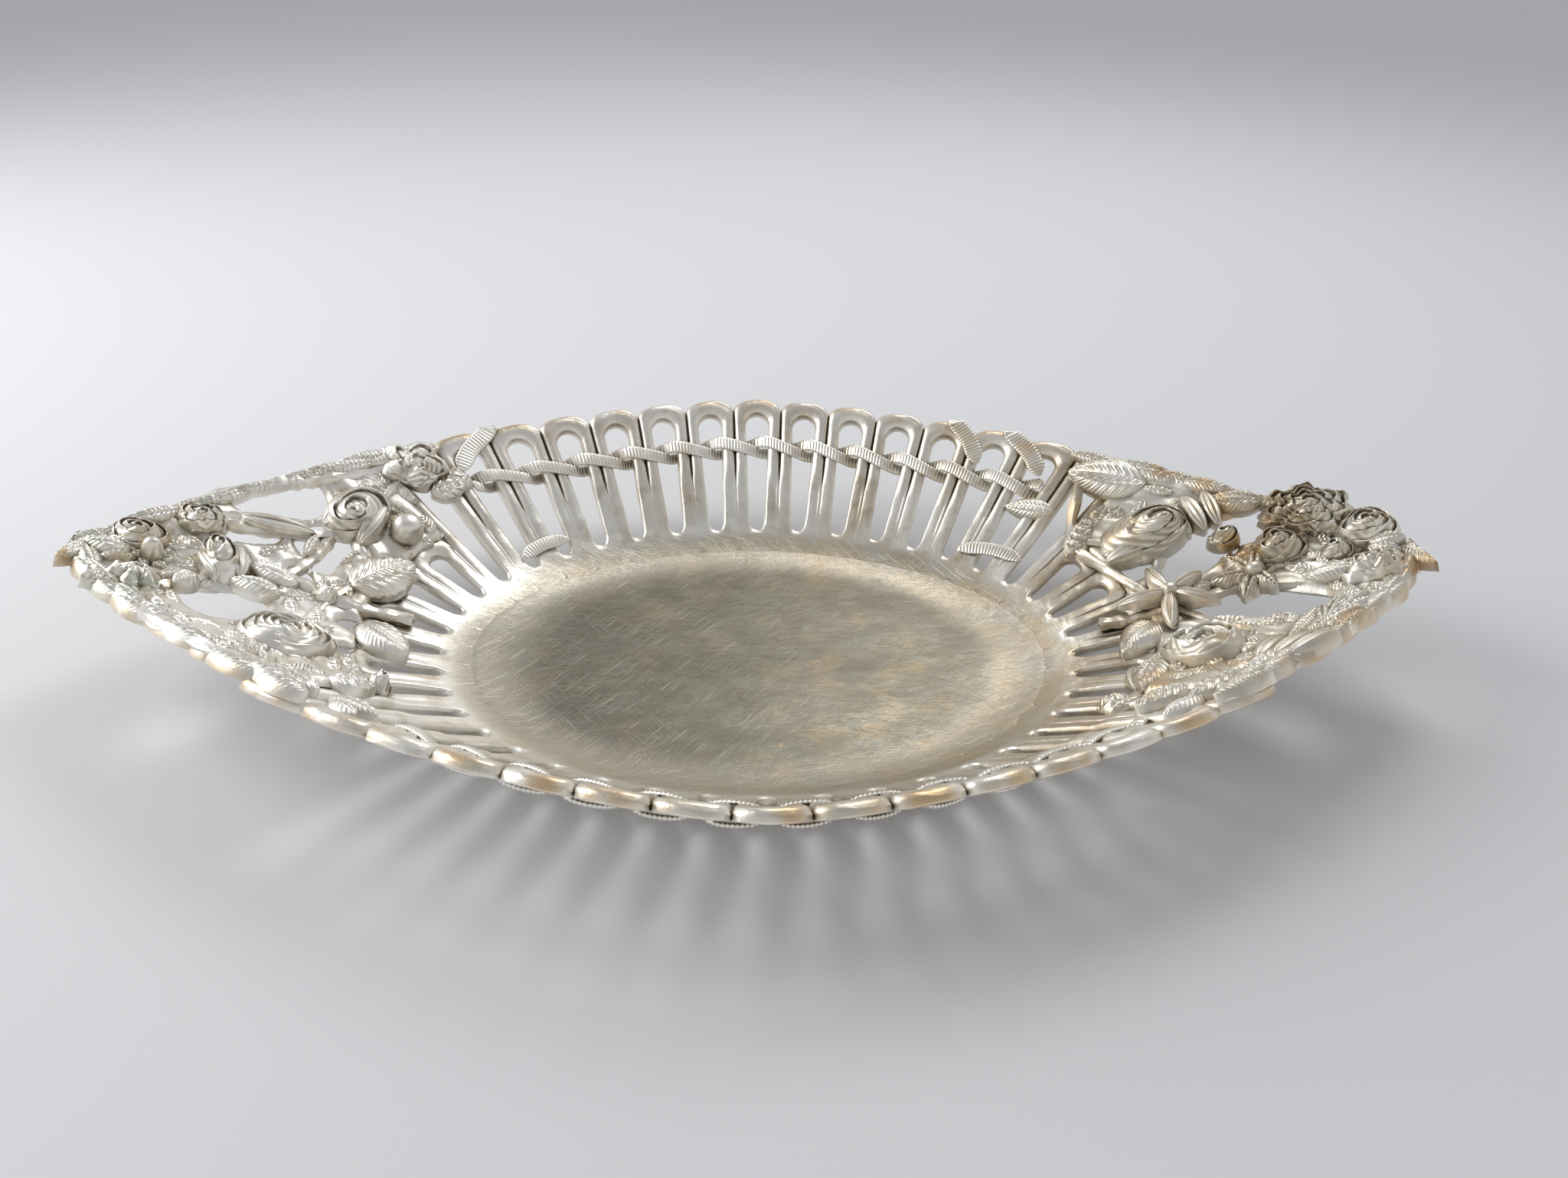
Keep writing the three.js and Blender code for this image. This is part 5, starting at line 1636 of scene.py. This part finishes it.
@dataclass
class Tarnish:
    """The node group that colours the metal, from its bright ground, with painted sheen and highlights, to
    the grime, tarnish and painted shade in its hollows.

    Its reaches are places along the basket, in metres from the middle and below zero to the left.
    """

    clouds: Mask = Mask(34, 4, 0.38, 0.66)
    blots: Mask = Mask(130, 6, 0.5, 0.7, 0.4)
    flank_blots: Mask = Mask(60, 6, 0.28, 0.55, 0.95)
    smudges: Mask = Mask(1.0, 7, 0.42, 0.62, 0.3)
    smudge_scale: Triple = (90, 230, 90)
    smudge_turn: Triple = (0, 0, 0.5)
    patches: Mask = Mask(75, 5, 0.52, 0.66)
    rubs: Mask = Mask(48, 5, 0.42, 0.6, 0.8)
    spots: Mask = Mask(95, 3, 0.71, 0.76, 0.7)
    verdigris: Mask = Mask(170, 5, 0.52, 0.64, 0.4)
    warm_reach: Span = (-0.1, 0.15)
    painted_sheen_reach: Span = (0.0, -0.12)
    tip_reach: Span = (-0.14, -0.175)
    painted_sheen_strength: float = 0.5
    least_warmth: float = 0.25
    least_patches: float = 0.3
    floor_shelter: float = 0.93
    specks: float = 0.5
    hollows: float = 0.55
    folds: float = 0.3
    film_and_shade: float = 0.6
    polish_and_highlight: float = 0.6

    def build(self) -> bpy.types.NodeTree:
        """Returns the group."""
        inputs = {"Place": "Vector", **dict.fromkeys(COLOURS, "Color"), **dict.fromkeys(SHARES, "Float")}
        self.graph, given, made = start_group("tarnish", inputs, {"Color": "Color", "Dirt": "Float"})
        self.given = given.outputs
        self.place = self.given["Place"]
        self.along = self.graph.node("SeparateXYZ", {0: self.place}).outputs[0]
        self.warm = self.graph.ramp(self.along, *self.warm_reach)
        self.tip = self.graph.ramp(self.along, *self.tip_reach)
        self.tone = self.graph.attribute("tone")
        self._lay_ground()
        self._stain()
        self._bare()
        self._soil_and_shade()
        self.graph.link(self.metal, made, "Color")
        self.graph.link(self.dirt, made, "Dirt")
        return self.graph.tree

    def _lay_ground(self) -> None:
        """Starts from silver, paler to the left as a painted sheen, that turns into the floor's smudged olive
        by the tone.
        """
        graph = self.graph
        # A painted sheen: the silver goes towards the bright colour to the left.
        pale = graph.times(graph.ramp(self.along, *self.painted_sheen_reach), self.painted_sheen_strength)
        silver = graph.mix(pale, self.given["silver"], self.given["bright"])
        ground = graph.mix(self.tone, silver, self.given["olive"])
        turned = {0: self.place, "Scale": self.smudge_scale, "Rotation": self.smudge_turn}
        drawn = graph.node("Mapping", turned).outputs[0]
        smudge = graph.times(graph.mask(drawn, self.smudges), self.tone)
        self.metal = graph.mix(smudge, ground, self.given["smudge"])

    def _stain(self) -> None:
        """Stains the metal in clouds and blots, warmer to the right and round the floor."""
        graph = self.graph
        warmth = graph.math("ADD", graph.times(self.warm, 1 - self.least_warmth), self.least_warmth)
        clouds = graph.times(graph.mask(self.place, self.clouds), warmth, self.given["staining"])
        staining = graph.math("ADD", clouds, graph.mask(self.place, self.blots), clamp=True)
        open_share = graph.math("SUBTRACT", 1.0, graph.times(self.tone, self.floor_shelter))
        flank = graph.times(graph.ramp(self.tone, 0.05, 0.4), graph.ramp(self.tone, 1.0, 0.8), warmth,
                            graph.mask(self.place, self.flank_blots))
        staining = graph.math("MAXIMUM", graph.times(staining, open_share), flank)
        self.metal = graph.mix(staining, self.metal, self.given["stain"])

    def _bare(self) -> None:
        """Bares brass on rubbed edges, in patches and in small spots."""
        graph = self.graph
        rubbed = graph.times(graph.mask(self.place, self.rubs), graph.attribute("wear"))
        where = graph.math("MAXIMUM", self.warm, self.tip, self.least_patches)
        patches = graph.times(graph.mask(self.place, self.patches), where, self.given["baring"])
        bared = graph.math("MAXIMUM", rubbed, patches, graph.mask(self.place, self.spots))
        self.metal = graph.mix(bared, self.metal, self.given["brass"])

    def _soil_and_shade(self) -> None:
        """Darkens the hollows as tarnish, grime and painted shade, greens the left tip and brightens the
        ridges as polished high points and painted highlights.
        """
        graph = self.graph
        specks = graph.math("SUBTRACT", graph.noise(self.place, 700, 5), 0.5)
        bend = graph.attribute("bend")
        edge = graph.math("ADD", graph.attribute("recess"), graph.times(bend, self.hollows),
                          graph.times(graph.attribute("fold"), self.folds), graph.times(specks, self.specks))
        # The hollows' mask darkens the colour as tarnish and grime and as painted shade, from the occlusion,
        # hollowness and fold marks.
        film_and_shade = graph.times(graph.ramp(edge, 0.12, 0.75), self.film_and_shade)
        self.dirt = graph.times(graph.ramp(edge, 0.42, 1.15), self.given["soiling_and_shade"])
        green = graph.times(self.tip, graph.mask(self.place, self.verdigris))
        # Ridges go towards the bright colour as polished high points and as a painted highlight.
        polish_and_highlight = graph.times(graph.ramp(bend, -0.1, -0.6), self.polish_and_highlight)
        for share, name in ((film_and_shade, "film_and_shade"), (self.dirt, "dark"), (green, "green"), (polish_and_highlight, "bright")):
            self.metal = graph.mix(share, self.metal, self.given[name])


@dataclass
class Surface:
    """The node group of cast grain, soft dents, chased lines and hairline scratches, as one height."""

    grain_share: float = 0.35
    hairs: Mask = Mask(1.0, 1, 0.63, 0.77)
    hair_scale: Triple = (62, 4200, 62)
    hair_turns: Numbers = (-0.4, -0.15, 0.08, 0.3, 0.9, 2.2)
    hair_depth: float = 0.25
    silver_hairs: float = 0.25
    drift: Triple = (0.004, 0.004, 0.0)
    chased_depth: float = 0.6

    def build(self) -> bpy.types.NodeTree:
        """Returns the group."""
        inputs = {"Place": "Vector", "grain": "Float", "scratches": "Float"}
        graph, given, made = start_group("surface", inputs, {"Height": "Float", "Scratch": "Float"})
        place = given.outputs["Place"]
        grain, dents = graph.noise(place, 1500, 5), graph.noise(place, 260, 4)
        rough = graph.math("ADD", graph.times(grain, self.grain_share), dents)
        waves = graph.math("COSINE", graph.times(graph.attribute("chase"), TAU))
        height = graph.math("ADD", graph.times(rough, given.outputs["grain"]),
                            graph.times(waves, self.chased_depth, graph.attribute("chased")))
        share = graph.math("ADD", graph.attribute("tone"), self.silver_hairs, clamp=True)
        lines = graph.times(self._hairs(graph, place), given.outputs["scratches"], share)
        graph.link(graph.math("SUBTRACT", height, graph.times(lines, self.hair_depth)), made, "Height")
        graph.link(lines, made, "Scratch")
        return graph.tree

    def _hairs(self, graph: Graph, place: Value) -> Value:
        """Draws fine scratches that run in several directions and bend a little.

        Args:
            graph: the group's graph.
            place: the places to draw on.

        Returns:
            A mask of the scratches.
        """
        noise = graph.node("TexNoise", {"Vector": place, "Scale": 22.0, "Detail": 2.0})
        drift = {0: noise.outputs["Color"], 1: self.drift, 2: place}
        bent = graph.node("VectorMath", drift, operation="MULTIPLY_ADD").outputs[0]
        hairs = []
        for angle in self.hair_turns:
            spun = graph.node("VectorRotate", {"Vector": bent, "Angle": angle}, rotation_type="Z_AXIS")
            drawn = graph.node("Mapping", {0: spun.outputs[0], "Scale": self.hair_scale}).outputs[0]
            hairs.append(graph.mask(drawn, self.hairs))
        return graph.math("MAXIMUM", *hairs)


@dataclass(frozen=True)
class Patina:
    """The look of one finish: how stained, bared, soiled and painted with shade in its hollows, rough and
    scratched it is, and its colours.
    """

    staining: float
    baring: float
    soiling_and_shade: float
    rough: float
    grain: float
    scratches: float
    silver: Triple = (0.80, 0.77, 0.70)
    olive: Triple = (0.205, 0.187, 0.143)
    smudge: Triple = (0.3, 0.285, 0.235)
    stain: Triple = (0.46, 0.36, 0.235)
    brass: Triple = (0.56, 0.37, 0.17)
    film_and_shade: Triple = (0.3, 0.245, 0.16)
    dark: Triple = (0.1, 0.08, 0.055)
    green: Triple = (0.23, 0.33, 0.22)
    bright: Triple = (0.93, 0.91, 0.86)


PATINAS = {
    Finish.SILVER: Patina(staining=0.7, baring=0.3, soiling_and_shade=0.55, rough=0.38, grain=0.8, scratches=0.8),
    Finish.FLOOR: Patina(staining=0.7, baring=0.3, soiling_and_shade=0.6, rough=0.36, grain=0.6, scratches=0.8,
                         stain=(0.42, 0.355, 0.26)),
    Finish.WORN: Patina(staining=0.75, baring=0.6, soiling_and_shade=0.85, rough=0.42, grain=0.9, scratches=0.5,
                        silver=(0.7, 0.67, 0.6), stain=(0.46, 0.38, 0.27)),
}


class Metals:
    """The materials of the three finishes."""

    SMEARS = 0.16
    DIRT_ROUGHNESS = 0.2
    SCRATCH_SHINE = 0.26
    SCRATCH_COLOUR = (0.8, 0.78, 0.72, 1)
    BUMP = {"Strength": 0.4, "Distance": 0.0004}

    def __init__(self) -> None:
        """Makes the shared groups and the materials."""
        self.tarnish = Tarnish().build()
        self.surface = Surface().build()
        self.by_finish = {finish: self._material(finish, patina) for finish, patina in PATINAS.items()}

    def _material(self, finish: Finish, patina: Patina) -> bpy.types.Material:
        """Makes one finish's material.

        Args:
            finish: the finish.
            patina: its look, whose values fill the inputs that have their names.

        Returns:
            The material.
        """
        material = bpy.data.materials.new(finish.name.lower() + "_metal")
        material.use_nodes = True
        graph = Graph(material.node_tree)
        shader = material.node_tree.nodes["Principled BSDF"]
        place = graph.node("TexCoord").outputs["Object"]
        tarnish = graph.node("Group", node_tree=self.tarnish)
        surface = graph.node("Group", node_tree=self.surface)
        for group in (tarnish, surface):
            graph.link(place, group, "Place")
            for socket in group.inputs[1:]:
                value = getattr(patina, socket.name)
                socket.default_value = (*value, 1) if isinstance(value, tuple) else value
        bump = graph.node("Bump", {**self.BUMP, "Height": surface.outputs["Height"]})
        smears = graph.times(graph.noise(place, 55, 5), self.SMEARS)
        rough = graph.math("ADD", smears, patina.rough - self.SMEARS / 2,
                           graph.times(tarnish.outputs["Dirt"], self.DIRT_ROUGHNESS))
        shine = graph.times(surface.outputs["Scratch"], self.SCRATCH_SHINE)
        graph.link(graph.mix(shine, tarnish.outputs["Color"], self.SCRATCH_COLOUR), shader, "Base Color")
        graph.link(rough, shader, "Roughness")
        graph.link(bump.outputs[0], shader, "Normal")
        shader.inputs["Metallic"].default_value = 1.0
        return material


@dataclass
class Recesses:
    """Finds how deep each point of the basket lies among its neighbours, where grime and tarnish stay and
    where the colour is darkened as painted shade.

    Its reach, its start and the size of ridge that counts as sharp are in metres.
    """

    reach: float = 0.008
    start: float = 0.00015
    fineness: float = 0.0011
    upright: float = 1.02
    fading: float = 0.6
    evening: int = 2
    rays: Array = field(init=False)

    def __post_init__(self) -> None:
        """Picks the directions in which it looks."""
        self.rays = unit(np.random.default_rng(5).normal(size=(8, 3)))

    def mark(self, pieces: Sequence[bpy.types.Object]) -> None:
        """Writes the recess and the bend of every point of the pieces.

        Args:
            pieces: the objects to mark.
        """
        tree = self._tree(pieces)
        for piece in pieces:
            data = piece.data
            hidden = np.zeros(len(data.vertices))
            if tree:
                hidden[:] = [self._at(tree, vert.co, vert.normal) for vert in data.vertices]
            edges = np.zeros(2 * len(data.edges), dtype=np.int32)
            data.edges.foreach_get("vertices", edges)
            edges = edges.reshape(-1, 2)
            # recess (the share of sky that neighbours hide) and bend darken the colour in the tarnish group,
            # as tarnish and grime in hollows and as painted shade.
            for name, values in (("recess", hidden), ("bend", self._bend(data, edges))):
                layer = data.attributes.new(name, "FLOAT", "POINT")
                layer.data.foreach_set("value", self._spread(values, edges))

    def _bend(self, data: bpy.types.Mesh, edges: Array) -> Array:
        """Works out how hollow each point's place is.

        Args:
            data: the piece's mesh.
            edges: its edges, as pairs of points.

        Returns:
            Numbers from -1 on ridges to 1 in hollows.
        """
        places = np.zeros(3 * len(data.vertices), dtype=np.float32)
        normals = np.zeros_like(places)
        data.vertices.foreach_get("co", places)
        data.vertex_normals.foreach_get("vector", normals)
        places, normals = places.reshape(-1, 3), normals.reshape(-1, 3)
        step = places[edges[:, 1]] - places[edges[:, 0]]
        size = np.maximum((step**2).sum(axis=-1), 1e-9)
        first = (step * normals[edges[:, 0]]).sum(axis=-1) / size
        second = -(step * normals[edges[:, 1]]).sum(axis=-1) / size
        total = np.bincount(edges.ravel(), np.stack([first, second], axis=-1).ravel(), len(places))
        count = np.maximum(np.bincount(edges.ravel(), minlength=len(places)), 1)
        return np.tanh(total / count * self.fineness)

    def _spread(self, values: Array, edges: Array) -> Array:
        """Evens values out with those of their neighbours.

        Args:
            values: one for each point.
            edges: the piece's edges, as pairs of points.

        Returns:
            The evened values.
        """
        count = np.maximum(np.bincount(edges.ravel(), minlength=len(values)), 1)
        for _ in range(self.evening):
            near = np.bincount(edges[:, 0], values[edges[:, 1]], len(values))
            near += np.bincount(edges[:, 1], values[edges[:, 0]], len(values))
            values = (values + near / count) / 2
        return values

    def _tree(self, pieces: Sequence[bpy.types.Object]) -> BVHTree:
        """Gathers all the faces for the search.

        Args:
            pieces: the objects to look among.

        Returns:
            A search tree.
        """
        verts, faces = [], []
        for piece in pieces:
            start = len(verts)
            verts += [vert.co.copy() for vert in piece.data.vertices]
            faces += [[start + index for index in face.vertices] for face in piece.data.polygons]
        return BVHTree.FromPolygons(verts, faces)

    def _at(self, tree: BVHTree, place: Vector, normal: Vector) -> float:
        """Looks up from a point.

        Args:
            tree: the search tree.
            place: the point's place.
            normal: its normal.

        Returns:
            The share of the sky over it that its neighbours hide.
        """
        start = place + normal * self.start
        hidden = 0.0
        for ray in self.rays:
            direction = Vector(ray) + normal * self.upright
            hit = tree.ray_cast(start, direction.normalized(), self.reach)
            if hit[0] is not None:
                hidden += 1 - self.fading * hit[3] / self.reach
        return hidden / len(self.rays)


@dataclass
class Studio:
    """The pale floor, the soft lamps, the backdrop and the photograph's camera."""

    focal: float = 27.035
    place: Triple = (-9.0, -280.5, 203.5)
    pitch: float = 32.41
    turn: float = -3.1
    roll: float = -2.01

    def build(self) -> None:
        """Makes the whole studio."""
        self._floor()
        self._world()
        self._lamp("key", (240, 600, 800), 420, 2.6)
        self._lamp("side", (-760, 160, 520), 600, 4.8)
        self._camera()

    def _floor(self) -> None:
        """Makes the pale floor."""
        mesh = bmesh.new()
        bmesh.ops.create_grid(mesh, x_segments=8, y_segments=8, size=4.0)
        data = bpy.data.meshes.new("studio_floor")
        mesh.to_mesh(data)
        mesh.free()
        floor = bpy.data.objects.new("studio_floor", data)
        bpy.context.scene.collection.objects.link(floor)
        material = bpy.data.materials.new("pale_floor")
        material.use_nodes = True
        shader = material.node_tree.nodes["Principled BSDF"]
        shader.inputs["Base Color"].default_value = (0.66, 0.66, 0.67, 1)
        shader.inputs["Roughness"].default_value = 0.9
        data.materials.append(material)

    def _world(self) -> None:
        """Lights the scene from a pale horizon under a dimmer zenith."""
        world = bpy.data.worlds.new("studio")
        world.use_nodes = True
        bpy.context.scene.world = world
        graph = Graph(world.node_tree)
        back = world.node_tree.nodes["Background"]
        height = graph.node("SeparateXYZ", {0: graph.node("TexCoord").outputs["Generated"]}).outputs[2]
        share = graph.ramp(height, 0.0, 0.9)
        light = graph.mix(share, (0.98, 0.99, 1.0, 1), (0.45, 0.46, 0.48, 1))
        graph.link(light, back, "Color")
        back.inputs["Strength"].default_value = 0.9

    def _lamp(self, name: str, place: Triple, size: float, power: float) -> None:
        """Adds a soft lamp aimed at the basket.

        Args:
            name: its name.
            place: where it hangs in millimetres.
            size: its width in millimetres.
            power: its power in watts.
        """
        data = bpy.data.lights.new(name, "AREA")
        data.shape = "DISK"
        data.size = size * MM
        data.energy = power
        lamp = bpy.data.objects.new(name, data)
        bpy.context.scene.collection.objects.link(lamp)
        lamp.location = Vector(place) * MM
        lamp.rotation_euler = (-lamp.location).to_track_quat("-Z", "Y").to_euler()

    def _camera(self) -> None:
        """Sets the camera at the photograph's viewing angle."""
        pitch, turn, roll = (math.radians(angle) for angle in (self.pitch, self.turn, self.roll))
        spin = Matrix.Rotation(turn, 3, "Z")
        forward = spin @ Vector((0, math.cos(pitch), -math.sin(pitch)))
        right = spin @ Vector((1, 0, 0))
        down = spin @ Vector((0, -math.sin(pitch), -math.cos(pitch)))
        across = math.cos(roll) * right + math.sin(roll) * down
        lower = -math.sin(roll) * right + math.cos(roll) * down
        data = bpy.data.cameras.new("camera")
        data.lens = self.focal
        data.sensor_width = 36.0
        data.clip_start = 0.01
        camera = bpy.data.objects.new("camera", data)
        bpy.context.scene.collection.objects.link(camera)
        axes = Matrix((across, -lower, -forward)).transposed().to_4x4()
        camera.matrix_world = Matrix.Translation(Vector(self.place) * MM) @ axes
        bpy.context.scene.camera = camera
        bpy.context.scene.view_settings.view_transform = "Standard"


def build_gallery() -> list[Casting]:
    """Returns the four runs of hoops."""
    gallery = Gallery()
    half = GRID.hoops // 2
    reach = 7
    return [
        gallery.build("far_gallery", -reach, reach, True),
        gallery.build("near_gallery", half - reach, half + reach, True),
        gallery.build("right_gallery", reach + 1, half - reach - 1, False),
        gallery.build("left_gallery", half + reach + 1, 2 * half - reach - 1, False),
    ]


def build_weave() -> list[Casting]:
    """Returns the twined strands, the rim bindings and the ribbon tails."""
    weave = Weave()
    half = GRID.hoops / 2
    return [
        weave.strand("far_strand_one", 0, 1),
        weave.strand("far_strand_two", 0, -1),
        weave.strand("near_strand_one", half, 1),
        weave.strand("near_strand_two", half, -1),
        weave.rim_binding("left_rim_binding", Finish.SILVER, -5.4, 0.9),
        weave.rim_binding("right_inner_rim_binding", Finish.WORN, 4.1, -0.7),
        weave.rim_binding("right_outer_rim_binding", Finish.WORN, 5.2, -0.9),
        weave.ribbon_tail("left_ribbon_tail", Finish.SILVER, -6.2, -4.8, 0.8),
        weave.ribbon_tail("right_ribbon_tail", Finish.WORN, 5.2, 6.9, 5.5),
    ]


def build_ends() -> list[Casting]:
    """Returns the stems and blooms of both ends."""
    stems = [
        Stems(End.LEFT, Finish.SILVER, LEFT_HOLES, LEFT_FRONDS, LEFT_STEMS).build("left_stems"),
        Stems(End.RIGHT, Finish.WORN, RIGHT_HOLES, RIGHT_FRONDS, RIGHT_STEMS).build("right_stems"),
    ]
    return stems + Blooms().build()


def main() -> None:
    """Builds the basket, its materials and the studio."""
    logging.basicConfig(level=logging.INFO, format="%(message)s")
    metals = Metals()
    castings = [Floor().build(), *build_gallery(), *build_weave(), *build_ends()]
    pieces = [casting.finish_piece(metals.by_finish[casting.finish]) for casting in castings]
    Recesses().mark(pieces)
    Studio().build()


if __name__ == "__main__":
    main()
